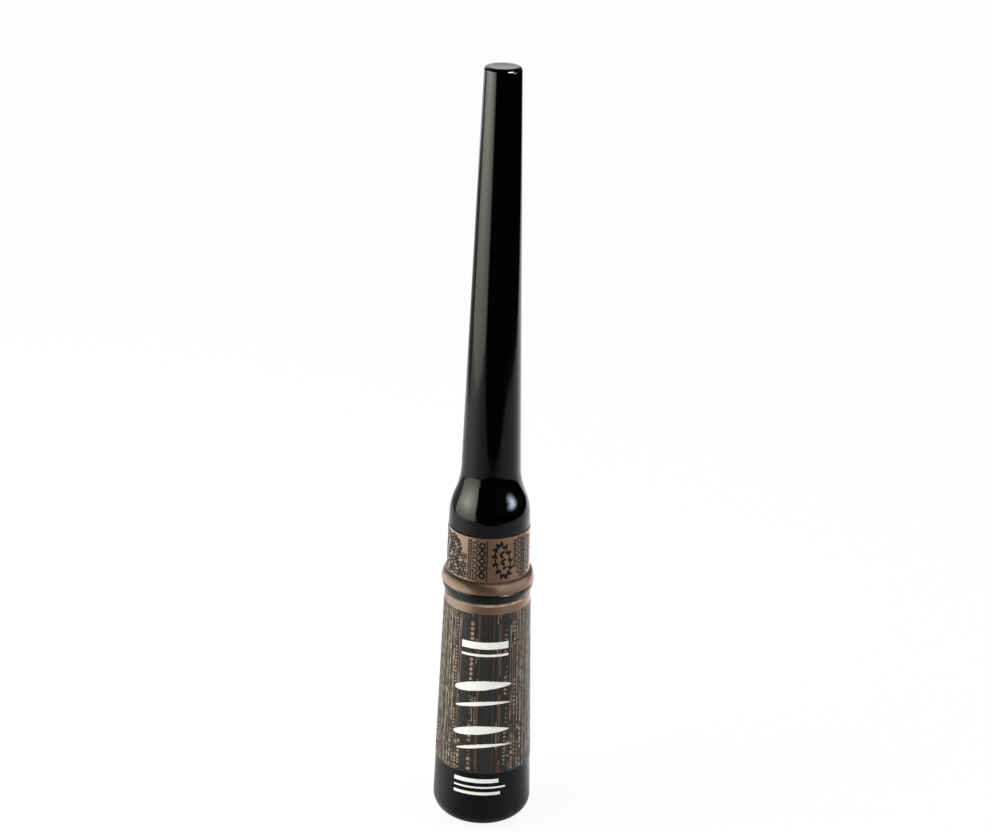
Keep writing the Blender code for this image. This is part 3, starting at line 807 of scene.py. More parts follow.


# Lanes of the broken pale lines, crowded at the sides as partly print and partly painted
# reflection: place from the middle, widest line, longest line, longest gap
PALE_LINE_AND_SHEEN_LANES = (
    (2.0, 0.14, 5.0, 14.0), (4.45, 0.16, 5.0, 4.0), (4.75, 0.12, 3.0, 7.0), (5.75, 0.3, 16.0, 0.9),
    (6.1, 0.13, 4.0, 2.5), (6.5, 0.34, 12.0, 0.9), (6.9, 0.12, 4.0, 2.0), (7.2, 0.3, 16.0, 0.9),
    (7.6, 0.14, 5.0, 2.5),
)


def square_motifs(low, high, girth, rng):
    """Return the tan overprint: upright columns of small squares, three times round."""
    motifs = []
    tall = high - low
    for middle in (-girth / 3, 0.0, girth / 3):
        for arc, size, pitch, runs in PALE_COLUMNS:
            left = middle + (arc - size / 2) * MM
            for start, stop in runs:
                height = low + tall * start
                while height + size * MM < low + tall * stop:
                    wide = size * rng.uniform(0.85, 1.1) * MM
                    motifs.append(bar(left, left + wide, height, height + 0.85 * size * MM))
                    height += pitch * MM
    return motifs


def pale_line_and_painted_sheen_motifs(low, high, girth, rng):
    """Return the pale overprint: broken upright lines, few in front, crowded at the sides as partly
    print and partly painted reflection.
    """
    motifs = []
    for middle in (-girth / 3, 0.0, girth / 3):
        for place, widest, longest, gap in PALE_LINE_AND_SHEEN_LANES:
            for side in (-1, 1):
                # Loose pale squares fill the lowest part of the sides instead, also partly painted
                # reflection
                foot = low + (8.4 * MM if 3.0 < place < 7.0 else 0.0)
                height = foot + rng.uniform(0.0, gap) * MM
                while height + 0.5 * MM < high:
                    stop = min(height + rng.uniform(0.15, 1.0) * longest * MM, high)
                    left = middle + (side * place + rng.uniform(-0.05, 0.05)) * MM
                    wide = widest * rng.uniform(0.6, 1.0) * MM
                    motifs.append(bar(left - wide / 2, left + wide / 2, height, stop))
                    height = stop + rng.uniform(0.25, 1.0) * gap * MM
        # Loose pale squares low on the sides: partly print, partly painted reflection
        for place in (4.1, 4.7, 5.85, 6.45):
            for side in (-1, 1):
                height = low + rng.uniform(0.1, 0.5) * MM
                while height < low + 7.6 * MM:
                    wide = rng.uniform(0.28, 0.5) * MM
                    tall = wide * rng.uniform(0.7, 1.9)
                    if rng.random() < 0.72:
                        left = middle + side * place * MM - wide / 2
                        motifs.append(bar(left, left + wide, height, height + tall))
                    height += tall + rng.uniform(0.15, 0.5) * MM
    return motifs


def leaf(arc, height, reach, direction, width):
    """Return a small leaf that points in a direction."""
    path = []
    widths = []
    for step in range(6):
        along = step / 5
        path.append(away(arc, height, reach * along, direction))
        widths.append(max(0.02 * MM, width / 2 * math.sin(math.pi * min(along + 0.08, 1.0))))
    return ribbon(path, widths)


def wreath(arc, height, wide, tall, lean, rng):
    """Return an open oval wreath of leaves in pairs, which leans to one side."""
    motifs = []
    count = 13
    stem = []
    for index in range(count):
        turn = math.radians(-60 + 330 * index / (count - 1))
        across = wide / 2 * math.cos(turn)
        rise = tall / 2 * math.sin(turn)
        heading = math.atan2(tall * math.cos(turn), -wide * math.sin(turn))
        spot = (arc + across + lean * rise, height + rise)
        stem.append(spot)
        for side in (-1, 1):
            motifs.append(leaf(*spot, rng.uniform(0.62, 0.82) * MM, heading + side * 0.8, 0.5 * MM))
        motifs.append(disc(*spot, 0.24 * MM, 7, rng))
    motifs.append(ribbon(stem, [0.11 * MM] * count))
    for step in range(5):
        rise = (step - 2) * 0.66 * MM
        motifs.append(disc(arc + lean * rise, height + rise, 0.27 * MM, 8, rng))
        motifs.append(
            leaf(arc + lean * rise, height + rise, 0.75 * MM, 0.5 + 1.9 * (step % 2), 0.42 * MM)
        )
    return motifs


def rosette(arc, height, radius, rng):
    """Return a small flower: a ring, a dot in its middle and dots round it."""
    motifs = [ring(arc, height, radius * 0.66, radius * 0.24, 14)]
    for index in range(8):
        spot = away(arc, height, radius, math.tau * index / 8)
        motifs.append(disc(*spot, radius * 0.31 * rng.uniform(0.8, 1.15), 7))
    return motifs


def scroll(arc, low, high, sway, rng):
    """Return a swaying stem with blots on one side and leaves on the other."""
    path = []
    widths = []
    motifs = []
    count = 25
    for step in range(count):
        along = step / (count - 1)
        turn = along * 3.4 * math.pi
        path.append((arc + sway * math.sin(turn), low + (high - low) * along))
        widths.append((0.18 + 0.06 * math.sin(turn * 2)) * MM)
        if step % 2:
            side = 1 if math.cos(turn) > 0 else -1
            here = path[-1]
            heading = math.pi / 2 - 0.9 * side
            motifs.append(disc(here[0] - side * 0.4 * MM, here[1], 0.2 * MM, 7, rng))
            motifs.append(leaf(here[0] + side * 0.1 * MM, here[1], 0.62 * MM, heading, 0.38 * MM))
    motifs.append(ribbon(path, widths))
    return motifs


def zigzag(left, right, low, high, pitch, width):
    """Return an upright zigzag line between two sides."""
    count = int((high - low) / pitch)
    sides = (right, left)
    path = [(sides[step % 2], low + (high - low) * step / count) for step in range(count + 1)]
    return ribbon(path, [width / 2] * len(path))


def ring_chain(arc, low, high, outer, inner):
    """Return rings linked by short bars."""
    motifs = []
    pitch = 2 * outer + 0.12 * MM
    link = 0.16 * MM
    for index, height in enumerate(evenly(low, high, pitch)):
        motifs.append(ring(arc, height, outer, inner))
        if index:
            motifs.append(bar(arc - link, arc + link, height - pitch + outer, height - outer))
    return motifs


def stitches(arc, low, high, width, dash, rng):
    """Return an upright row of short dashes."""
    motifs = []
    height = low
    while height + dash < high:
        stop = height + dash * rng.uniform(0.75, 1.2)
        motifs.append(bar(arc - width / 2, arc + width / 2, height, min(stop, high)))
        height = stop + dash * 0.45
    return motifs


def collar_motifs(low, high, girth, rng):
    """Return the collar's print: the same run of lace and columns in front and behind."""
    motifs = []
    tall = high - low
    for middle in (0.0, girth / 2):

        def at(millimetres):
            return middle + millimetres * MM

        # A lace panel on the left: scrolls, with flowers between them
        motifs += scroll(at(-9.3), low, high, 0.35 * MM, rng)
        motifs += scroll(at(-7.7), low, high - 0.2 * MM, 0.32 * MM, rng)
        for rise in (0.12, 0.37, 0.62, 0.87):
            motifs += rosette(at(-6.5), low + tall * rise, 0.72 * MM, rng)
        motifs += scroll(at(-5.35), low, high - 0.6 * MM, 0.24 * MM, rng)
        for rise in (0.1, 0.31, 0.52):
            motifs += rosette(at(-4.2), low + tall * rise, 0.6 * MM, rng)
        # Close columns, then a chain of rings
        motifs += windowed(at(-3.4), at(-2.75), low, high, "ladder", 0.15 * MM, 0.34 * MM)
        motifs += stitches(at(-2.45), low, high, 0.32 * MM, 0.36 * MM, rng)
        motifs.append(zigzag(at(-2.12), at(-1.7), low, high, 0.42 * MM, 0.26 * MM))
        motifs += ring_chain(at(-0.98), low, high, 0.58 * MM, 0.3 * MM)
        motifs.append(bar(at(-0.3), at(-0.12), low, high))
        # The wreath stands alone on bare lacquer
        motifs += wreath(at(2.35), low + tall * 0.5, 2.5 * MM, tall * 0.8, -0.16, rng)
        # Stitched columns on the right
        motifs += stitches(at(4.5), low + tall * 0.3, high, 0.46 * MM, 0.34 * MM, rng)
        motifs.append(zigzag(at(4.95), at(5.4), low + tall * 0.1, high, 0.44 * MM, 0.27 * MM))
        motifs += stitches(at(5.75), low, high, 0.32 * MM, 0.42 * MM, rng)
        motifs += windowed(at(6.05), at(6.8), low, high, "bead", 0.17 * MM, 0.62 * MM)
        motifs.append(zigzag(at(7.05), at(7.5), low, high, 0.44 * MM, 0.27 * MM))
        motifs += ring_chain(at(8.15), low, high, 0.46 * MM, 0.24 * MM)
    return motifs


def film(name, body, motifs, radius_at, reference, maker, lift=0.0):
    """Wrap flat motifs round a turned wall as closed films that stand a little proud."""
    sizes = bpy.context.scene.eyeliner_sizes
    solids = []
    for points, faces in motifs:
        verts = []
        for level in (sizes.ink_relief, -sizes.ink_sunk):
            for arc, height in points:
                radius = radius_at(height) + lift + level
                verts.append(polar(radius, FRONT + arc / reference, height))
        count = len(points)
        edges = set()
        solid = []
        for face in faces:
            solid.append(face)
            solid.append([corner + count for corner in reversed(face)])
            edges.update(zip(face, face[1:] + face[:1]))
        for start, stop in edges:
            if (stop, start) not in edges:
                solid.append([stop, start, start + count, stop + count])
        solids.append((verts, solid))
    piece = add_piece(name, body, solids, [maker])


def shell_radius(height):
    """Return the bottle's outer radius on its plain cone."""
    sizes = bpy.context.scene.eyeliner_sizes
    fall = (sizes.shell_base_radius - sizes.shell_top_radius) / (SHELL_TOP - SHELL_FOOT)
    return sizes.shell_base_radius - fall * (height - SHELL_FOOT)


def collar_wall():
    """Return the collar's outer radius at its top and where the lip begins."""
    sizes = bpy.context.scene.eyeliner_sizes
    foot = COLLAR_WIDEST - sizes.lip_swell
    return foot - 0.12 * MM, foot


def collar_radius(height):
    """Return the collar's outer radius above its lip."""
    sizes = bpy.context.scene.eyeliner_sizes
    top, foot = collar_wall()
    lip_top = COLLAR_FOOT + sizes.lip_height
    return foot + (top - foot) * (height - lip_top) / (COLLAR_TOP - lip_top)


def print_reference(sizes):
    """Return the radius at which the bottle's print keeps its true width."""
    return shell_radius((sizes.field_foot + sizes.field_top) / 2)


class EYELINER_OT_bottle_shell(bpy.types.Operator):
    """Turn the bottle's shell, lacquered above, black at the foot, with a painted highlight on its
    mouth edge
    """

    bl_idname = "eyeliner.bottle_shell"
    bl_label = "Bottle shell"

    def execute(self, context):
        sizes = context.scene.eyeliner_sizes
        counterbore = VIAL_WIDEST + FIXED_FIT
        bore = counterbore - 0.5 * MM
        ledge = SHELL_TOP - 1.05 * MM
        floor = 1.5 * MM
        corners = [
            (0.0, 0.25 * MM), (3.7 * MM, 0.25 * MM, 0.1 * MM), (3.9 * MM, 0.0, 0.1 * MM),
            (sizes.shell_base_radius, 0.0, sizes.shell_foot_rounding),
            (shell_radius(sizes.field_foot), sizes.field_foot),
            (shell_radius(sizes.field_top), sizes.field_top),
            (sizes.shell_top_radius, SHELL_TOP, 0.35 * MM), (counterbore, SHELL_TOP, 0.1 * MM),
            (counterbore, ledge), (bore, ledge), (bore, floor, 1.0 * MM), (0.0, floor),
        ]
        makers = [sprayed_taupe_lacquer, sprayed_black_lacquer, mouth_edge_painted_highlight]

        def choose(centre):
            inside = centre.xy.length < counterbore + 0.05 * MM
            if inside or centre.z < sizes.field_foot:
                return 1
            # The mouth's rounding, the top 0.32 mm, carries a pale painted highlight
            return 2 if centre.z > SHELL_TOP - 0.32 * MM else 0

        solids = [turned(rounded(corners), sizes.segments)]
        shell = add_piece("bottle_shell_fine", "bottle", solids, makers, choose)
        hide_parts("bottle_shell")
        return {"FINISHED"}


class EYELINER_OT_bottle_print(bpy.types.Operator):
    """Lay the dark upright bands, the tan squares and the pale broken lines on the bottle; the pale
    lines crowded at the sides are partly painted reflection
    """

    bl_idname = "eyeliner.bottle_print"
    bl_label = "Bottle print"

    def execute(self, context):
        sizes = context.scene.eyeliner_sizes
        reference = print_reference(sizes)
        for name, motifs_of, seed, ink, lift in (
            ("bottle_print", field_motifs, 7, transfer_printed_ink, 0.0),
            ("tan_squares", square_motifs, 19, tan_screen_ink, 0.02 * MM),
            ("pale_lines", pale_line_and_painted_sheen_motifs, 23, pale_screen_ink, 0.02 * MM),
        ):
            rng = random.Random(seed)
            motifs = motifs_of(sizes.field_foot, sizes.field_top, math.tau * reference, rng)
            film(name, "bottle", motifs, shell_radius, reference, ink, lift)
        return {"FINISHED"}


class EYELINER_OT_white_strokes(bpy.types.Operator):
    """Lay plain bars, tapered strokes and rules in white ink on the bottle"""

    bl_idname = "eyeliner.white_strokes"
    bl_label = "White strokes"

    def execute(self, context):
        sizes = context.scene.eyeliner_sizes
        reference = print_reference(sizes)
        rng = random.Random(11)
        motifs = []
        for left, right, height, thickness in (
            (-5.2, 4.6, 25.4, 1.9), (-4.9, 4.4, 22.2, 0.8), (-5.1, 4.2, 17.4, 1.7),
            (-4.4, 4.5, 14.6, 0.7),
        ):
            path = []
            widths = []
            for step in range(33):
                along = step / 32
                arc = left + (right - left) * along
                lift = 0.5 * math.sin(math.pi * along) + 0.9 * along
                path.append((arc * MM, (height + lift) * MM))
                body = math.sin(math.pi * min(along * 1.25, 1.0) / 2) ** 0.5 * (1 - along) ** 0.6
                grain = 1 + rng.uniform(-0.05, 0.05)
                widths.append(max(thickness / 2 * body * 1.4 * grain, 0.03) * MM)
            motifs.append(ribbon(path, widths))
        for left, right, height, thickness in (
            (-4.1, 3.9, 33.4, 1.2), (-4.1, 3.9, 31.7, 0.4), (-4.5, 2.6, 9.1, 0.7),
            (-4.5, 3.7, 7.9, 0.3), (-4.5, 2.9, 6.8, 0.5),
        ):
            low = (height - thickness / 2) * MM
            motifs.append(bar(left * MM, right * MM, low, low + thickness * MM, 0.5 * MM))
        film(
            "white_strokes", "bottle", motifs, shell_radius, reference, white_screen_ink,
            0.04 * MM,
        )
        return {"FINISHED"}


class EYELINER_OT_vial(bpy.types.Operator):
    """Turn the vial with its threaded neck"""

    bl_idname = "eyeliner.vial"
    bl_label = "Vial"

    def execute(self, context):
        sizes = context.scene.eyeliner_sizes
        neck = sizes.neck_radius
        bore = neck - NECK_WALL
        body = VIAL_WIDEST - 0.5 * MM
        wall = 0.8 * MM
        flange_foot = SHELL_TOP - 0.9 * MM
        bead = VIAL_TOP - SNAP_BEAD_DROP
        corners = [
            (0.0, VIAL_FOOT), (body, VIAL_FOOT, 1.0 * MM), (body, flange_foot),
            (VIAL_WIDEST, flange_foot, 0.08 * MM), (VIAL_WIDEST, SHELL_TOP, 0.12 * MM),
            (neck, SHELL_TOP, 0.12 * MM), (neck, VIAL_TOP, 0.25 * MM),
            (bore, VIAL_TOP, 0.08 * MM), (bore, bead + 0.65 * MM), (bore + SNAP_BEAD_REACH, bead),
            (bore, bead - 0.65 * MM), (bore, flange_foot),
            (body - wall, flange_foot - 2 * wall), (body - wall, VIAL_FOOT + 2 * wall),
            (body - 2 * wall, VIAL_FOOT + wall), (0.0, VIAL_FOOT + wall),
        ]
        solids = [turned(rounded(corners), 128)]
        steps = 72
        for start in (0.0, math.pi):
            sections = []
            for step in range(steps + 1):
                along = step / steps
                angle = start + THREAD_SWEEP * along
                climb = sizes.thread_lead * THREAD_SWEEP * along / math.tau
                middle = SHELL_TOP + THREAD_START + climb
                fade = min(1.0, along * 9, (1 - along) * 9)
                crest = neck + sizes.thread_depth * (0.08 + 0.92 * math.sin(fade * math.pi / 2))
                flank = [
                    (neck - 0.2 * MM, 0.5), (neck + 0.3 * (crest - neck), 0.42),
                    (crest - 0.05 * MM * fade, 0.26), (crest, 0.16),
                ]
                ridge = flank + [(radius, -offset) for radius, offset in reversed(flank)]
                sections.append([polar(r, angle, middle + offset * MM) for r, offset in ridge])
            solids.append(swept(sections))
        # Two mould halves leave a thin parting line up each side of the neck.
        for angle in (math.radians(20), math.radians(200)):
            line = ((-0.05, -0.06), (0.04, -0.03), (0.04, 0.03), (-0.05, 0.06))
            sections = [
                [polar(neck + out * MM, angle + aside * MM / neck, height) for out, aside in line]
                for height in (SHELL_TOP + 0.3 * MM, VIAL_TOP - 0.4 * MM)
            ]
            solids.append(swept(sections))
        vial = add_piece("vial_fine", "bottle", solids, [natural_polypropylene], sharp=38)
        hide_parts("bottle_vial")
        return {"FINISHED"}


class EYELINER_OT_wiper(bpy.types.Operator):
    """Turn the soft wiper in the vial's neck"""

    bl_idname = "eyeliner.wiper"
    bl_label = "Wiper"

    def execute(self, context):
        sizes = context.scene.eyeliner_sizes
        outer = sizes.neck_radius - NECK_WALL - FIXED_FIT
        inner = outer - 0.5 * MM
        underside = WIPER_TOP - 0.5 * MM
        cone = WIPER_FOOT + 2.8 * MM
        bead = VIAL_TOP - SNAP_BEAD_DROP
        reach = 1.55 * MM
        corners = [
            (inner, WIPER_TOP, 0.2 * MM), (WIPER_WIDEST, WIPER_TOP, 0.16 * MM),
            (WIPER_WIDEST, underside, 0.06 * MM), (outer, underside, 0.1 * MM),
            (outer, bead + 0.5 * MM), (outer + SNAP_BEAD_REACH, bead, 0.15 * MM),
            (outer, bead - 0.5 * MM), (outer, cone, 0.4 * MM),
            (reach + 0.5 * MM, WIPER_FOOT + 0.35 * MM, 0.1 * MM),
            (reach + 0.35 * MM, WIPER_FOOT, 0.08 * MM), (reach, WIPER_FOOT, 0.08 * MM),
            (reach, WIPER_FOOT + 0.35 * MM, 0.1 * MM), (inner, cone + 0.35 * MM, 0.4 * MM),
        ]
        wiper = turned_piece("wiper_fine", "bottle", corners, waxy_polyethylene, 96, 0.05 * MM)
        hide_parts("wiper")
        return {"FINISHED"}


class EYELINER_OT_mixing_ball(bpy.types.Operator):
    """Turn the steel ball, with the two faint poles that lapping leaves"""

    bl_idname = "eyeliner.mixing_ball"
    bl_label = "Mixing ball"

    def execute(self, context):
        low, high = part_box("mixing_ball")
        centre = (low + high) / 2
        radius = (high.z - low.z) / 2
        outline = [(0.0, -radius * 0.997)]
        for step in range(1, 40):
            angle = -math.pi / 2 + math.pi * step / 40
            outline.append((radius * math.cos(angle), radius * math.sin(angle)))
        outline.append((0.0, radius * 0.997))
        verts, faces = turned(outline, 64)
        solids = [([vert + centre for vert in verts], faces)]
        ball = add_piece("mixing_ball_fine", "ball", solids, [lapped_stainless_steel], sharp=60)
        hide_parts("mixing_ball")
        return {"FINISHED"}


class EYELINER_OT_seal_ring(bpy.types.Operator):
    """Turn the foamed washer between the wiper and the inner cap"""

    bl_idname = "eyeliner.seal_ring"
    bl_label = "Seal ring"

    def execute(self, context):
        bore = 1.35 * MM
        # The wiper's flange has pressed a shallow ring into the foam's underside.
        corners = [
            (bore, SEAL_FOOT, 0.12 * MM), (2.4 * MM, SEAL_FOOT, 0.05 * MM),
            (2.5 * MM, SEAL_FOOT + 0.06 * MM, 0.05 * MM),
            (3.8 * MM, SEAL_FOOT + 0.06 * MM, 0.05 * MM), (3.9 * MM, SEAL_FOOT, 0.05 * MM),
            (SEAL_WIDEST, SEAL_FOOT, 0.12 * MM), (SEAL_WIDEST, SEAL_TOP, 0.12 * MM),
            (bore, SEAL_TOP, 0.12 * MM),
        ]
        seal = turned_piece("seal_ring_fine", "seal", corners, foamed_polyethylene, 96, 0.04 * MM)
        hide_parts("seal_ring")
        return {"FINISHED"}


class EYELINER_OT_inner_cap(bpy.types.Operator):
    """Turn the inner cap with its lugs and the boss that holds the stem"""

    bl_idname = "eyeliner.inner_cap"
    bl_label = "Inner cap"

    def execute(self, context):
        sizes = context.scene.eyeliner_sizes
        bore = sizes.neck_radius + sizes.thread_depth + RUNNING_FIT
        outer = bore + 0.7 * MM
        ceiling = SEAL_TOP + FIXED_FIT
        deck = ceiling + 1.3 * MM
        spigot = deck + 2.6 * MM
        socket = 1.35 * MM
        boss = socket + 0.95 * MM
        corners = [
            (bore + 0.3 * MM, INNER_FOOT, 0.1 * MM), (INNER_WIDEST, INNER_FOOT, 0.1 * MM),
            (INNER_WIDEST, INNER_FOOT + 0.7 * MM, 0.1 * MM),
            (outer, INNER_FOOT + 0.7 * MM, 0.1 * MM), (outer, spigot, 0.25 * MM),
            (bore, spigot, 0.1 * MM), (bore, deck, 0.2 * MM), (boss, deck, 0.2 * MM),
            (boss, INNER_TOP, 0.12 * MM), (socket, INNER_TOP, 0.1 * MM),
            (socket, ceiling, 0.08 * MM), (bore, ceiling, 0.2 * MM), (bore, INNER_FOOT + 0.3 * MM),
        ]
        solids = [turned(rounded(corners), 128)]
        # The lugs wait under the thread's lower end: half a ridge, a running fit and half a lug.
        half_ridge, half_lug = 0.5 * MM, 0.4 * MM
        height = SHELL_TOP + THREAD_START - half_ridge - RUNNING_FIT - half_lug
        for start in (0.0, math.pi):
            sections = []
            for step in range(17):
                along = step / 16
                angle = start + math.radians(24) * along
                bite = math.sin(math.pi * min(1.0, 5 * min(along, 1 - along)) / 2)
                crest = bore - (bore - sizes.neck_radius - RUNNING_FIT) * max(bite, 0.1)
                root = bore + 0.2 * MM
                lug = ((root, 0.4), (crest, 0.2), (crest, -0.2), (root, -0.4))
                sections.append([polar(r, angle, height + offset * MM) for r, offset in lug])
            solids.append(swept(sections))
        inner = add_piece("inner_cap_fine", "cap", solids, [satin_black_polypropylene])
        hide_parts("cap_inner")
        return {"FINISHED"}


class EYELINER_OT_trim_ring(bpy.types.Operator):
    """Turn the glossy trim ring under the collar"""

    bl_idname = "eyeliner.trim_ring"
    bl_label = "Trim ring"

    def execute(self, context):
        sizes = context.scene.eyeliner_sizes
        counterbore = INNER_WIDEST + FIXED_FIT
        ledge = RING_FOOT + 0.85 * MM
        sleeve = INNER_WIDEST - 0.68 * MM
        taper = 0.42 * MM
        foot = RING_WIDEST - taper
        corners = [(counterbore, RING_FOOT), (foot, RING_FOOT, 0.18 * MM)]
        for step in range(2, 11):
            rise = step / 12
            crown = 0.06 * MM * math.sin(math.pi * rise)
            corners.append((foot + taper * rise + crown, RING_FOOT + (RING_TOP - RING_FOOT) * rise))
        corners += [
            (RING_WIDEST, RING_TOP, 0.16 * MM), (sleeve, RING_TOP), (sleeve, ledge),
            (counterbore, ledge),
        ]
        trim = turned_piece("trim_ring_fine", "cap", corners, gloss_moulded_abs, sizes.segments)
        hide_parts("cap_ring")
        return {"FINISHED"}


class EYELINER_OT_collar(bpy.types.Operator):
    """Turn the lacquered collar with its rounded lip, and lay its print"""

    bl_idname = "eyeliner.collar"
    bl_label = "Collar"

    def execute(self, context):
        sizes = context.scene.eyeliner_sizes
        top, foot = collar_wall()
        sleeve = top - 1.02 * MM
        lip_top = COLLAR_FOOT + sizes.lip_height
        corners = [(sleeve, COLLAR_FOOT)]
        for step in range(25):
            angle = math.pi / 2 * step / 24
            radius = foot + sizes.lip_swell * math.cos(angle)
            corners.append((radius, COLLAR_FOOT + sizes.lip_height * math.sin(angle)))
        corners += [(top, COLLAR_TOP, 0.15 * MM), (sleeve, COLLAR_TOP)]
        collar = turned_piece("collar_fine", "cap", corners, sprayed_taupe_lacquer, sizes.segments)
        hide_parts("cap_collar")
        reference = (top + foot) / 2
        motifs = collar_motifs(
            lip_top + 0.25 * MM, COLLAR_TOP - 0.35 * MM, math.tau * reference, random.Random(3)
        )
        film(
            "collar_print", "cap", motifs, collar_radius, reference, black_screen_ink,
        )
        return {"FINISHED"}


class EYELINER_OT_handle(bpy.types.Operator):
    """Turn the slim black handle with its bell"""

    bl_idname = "eyeliner.handle"
    bl_label = "Handle"

    def execute(self, context):
        sizes = context.scene.eyeliner_sizes
        slope = (sizes.handle_taper_radius - sizes.handle_tip_radius) / (HANDLE_TOP - HANDLE_FOOT)
        swell = HANDLE_WIDEST - sizes.handle_taper_radius

        def radius_at(height):
            rise = (height - HANDLE_FOOT - sizes.bell_skirt) / sizes.bell_rise
            rise = min(max(rise, 0.0), 1.0)
            if rise < sizes.bell_turn:
                share_left = 1 - rise * rise / sizes.bell_turn
            else:
                share_left = (1 - rise) ** 2 / (1 - sizes.bell_turn)
            return sizes.handle_tip_radius + slope * (HANDLE_TOP - height) + swell * share_left

        skirt_top = HANDLE_FOOT + sizes.bell_skirt
        bell_top = skirt_top + sizes.bell_rise
        sleeve = radius_at(HANDLE_FOOT) - 1.0 * MM
        spigot = SEAL_TOP + 4.2 * MM
        throat = INNER_TOP - 1.3 * MM
        cavity = HANDLE_TOP - 2.4 * MM
        wall = 1.3 * MM
        bell_bore = radius_at(bell_top) - wall
        corners = [(sleeve, HANDLE_FOOT), (radius_at(HANDLE_FOOT), HANDLE_FOOT, 0.12 * MM)]
        for step in range(41):
            height = skirt_top + sizes.bell_rise * step / 40
            corners.append((radius_at(height), height))
        # The middle of the tip is dished a little, where the thick end shrank in the mould.
        corners += [
            (radius_at(HANDLE_TOP), HANDLE_TOP, sizes.handle_rim_rounding),
            (1.9 * MM, HANDLE_TOP, 0.8 * MM), (0.9 * MM, HANDLE_TOP - 0.06 * MM, 1.5 * MM),
            (0.0, HANDLE_TOP - 0.07 * MM), (0.0, cavity), (radius_at(cavity) - wall, cavity - wall),
            (bell_bore, bell_top), (bell_bore, throat), (sleeve, spigot),
        ]
        handle = turned_piece("handle_fine", "cap", corners, gloss_moulded_abs, sizes.segments)
        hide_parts("cap_handle")
        return {"FINISHED"}


class EYELINER_OT_applicator(bpy.types.Operator):
    """Turn the stem and the crimped ferrule, and set the filaments of the brush"""

    bl_idname = "eyeliner.applicator"
    bl_label = "Stem and brush"

    def execute(self, context):
        sizes = context.scene.eyeliner_sizes
        tip = 0.95 * MM
        corners = [
            (0.0, STEM_FOOT), (tip, STEM_FOOT, 0.1 * MM), (tip, FERRULE_TOP + 0.15 * MM),
            (STEM_WIDEST, FERRULE_TOP + 6 * MM), (STEM_WIDEST, STEM_TOP, 0.3 * MM), (0.0, STEM_TOP),
        ]
        stem = turned_piece("stem_fine", "cap", corners, wiped_black_acetal, 64)
        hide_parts("stem")

        bore = tip + FIXED_FIT
        crimp = FERRULE_WIDEST - 0.08 * MM
        corners = [(bore, FERRULE_FOOT), (crimp, FERRULE_FOOT, 0.04 * MM)]
        corners.append((FERRULE_WIDEST, FERRULE_FOOT + 0.2 * MM))
        middle = (FERRULE_FOOT + FERRULE_TOP) / 2
        # Three rolled grooves hold the sleeve on the stem and the filaments.
        for groove in (middle - 0.55 * MM, middle, middle + 0.55 * MM):
            corners += [
                (FERRULE_WIDEST, groove - 0.2 * MM), (crimp, groove - 0.06 * MM),
                (crimp, groove + 0.06 * MM), (FERRULE_WIDEST, groove + 0.2 * MM),
            ]
        corners += [
            (FERRULE_WIDEST, FERRULE_TOP - 0.2 * MM), (crimp, FERRULE_TOP, 0.04 * MM),
            (bore, FERRULE_TOP),
        ]
        ferrule = turned_piece(
            "ferrule_fine", "cap", corners, drawn_crimped_aluminium, 96, 0.03 * MM, 50
        )
        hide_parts("brush_ferrule")

        rng = random.Random(5)
        long = FERRULE_FOOT - TUFT_FOOT
        shape = (
            (0.0, 0.05), (0.03, 0.15), (0.12, 0.4), (0.3, 0.74), (0.52, 0.94), (0.76, 0.9),
            (0.9, 0.78), (1.0, 0.76), ((TUFT_TOP - TUFT_FOOT) / long, 0.76),
        )
        solids = []
        for index in range(sizes.strands):
            out = math.sqrt((index + 0.5) / sizes.strands)
            angle = index * math.pi * (3 - math.sqrt(5))
            end = rng.uniform(0.0, 0.05) + rng.uniform(0.0, 0.14) * out**3
            twist = rng.uniform(-0.12, 0.12)
            path = []
            radii = []
            for step in range(12):
                along = end + (shape[-1][0] - end) * (step / 11) ** 1.3
                for (low, first), (high, last) in zip(shape, shape[1:]):
                    if along <= high + 1e-6:
                        break
                reach = first + (last - first) * (along - low) / (high - low)
                radius = TUFT_WIDEST * reach * out * 0.97
                path.append(polar(radius, angle + twist * along, TUFT_FOOT + long * along))
                radii.append(sizes.strand_radius * min(1.0, 0.16 + 1.5 * (along - end)))
            solids.append(tube(path, radii, 6))
        tuft = add_piece("brush_strands", "cap", solids, [drawn_nylon_filament], sharp=75)
        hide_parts("brush_tuft")
        return {"FINISHED"}


def sheet(name, corners, material):
    """Lay out a flat sheet for the studio, its corners given across and up from its middle."""
    mesh = bpy.data.meshes.new(name)
    mesh.from_pydata([(x, y, 0.0) for x, y in corners], [], [range(len(corners))])
    mesh.materials.append(material)
    item = bpy.data.objects.new(name, mesh)
    bpy.context.scene.collection.objects.link(item)
    return item


def hang(item, axis, centre, facing):
    """Place a card or a lamp so that one of its axes points at the object."""
    direction = Vector(facing) - Vector(centre)
    item.rotation_euler = direction.to_track_quat(axis, "Y").to_euler()
    item.location = centre
    item.visible_camera = False


def card(name, centre, facing, corners, material):
    """Add a flat card that faces a point, seen in gloss and by light but not by the camera."""
    item = sheet(name, corners, material)
    hang(item, "Z", centre, facing)
    item.visible_shadow = False
    return item


def box_corners(left, right, low, high):
    """Return the corners of an upright rectangle."""
    return [(left, low), (right, low), (right, high), (left, high)]


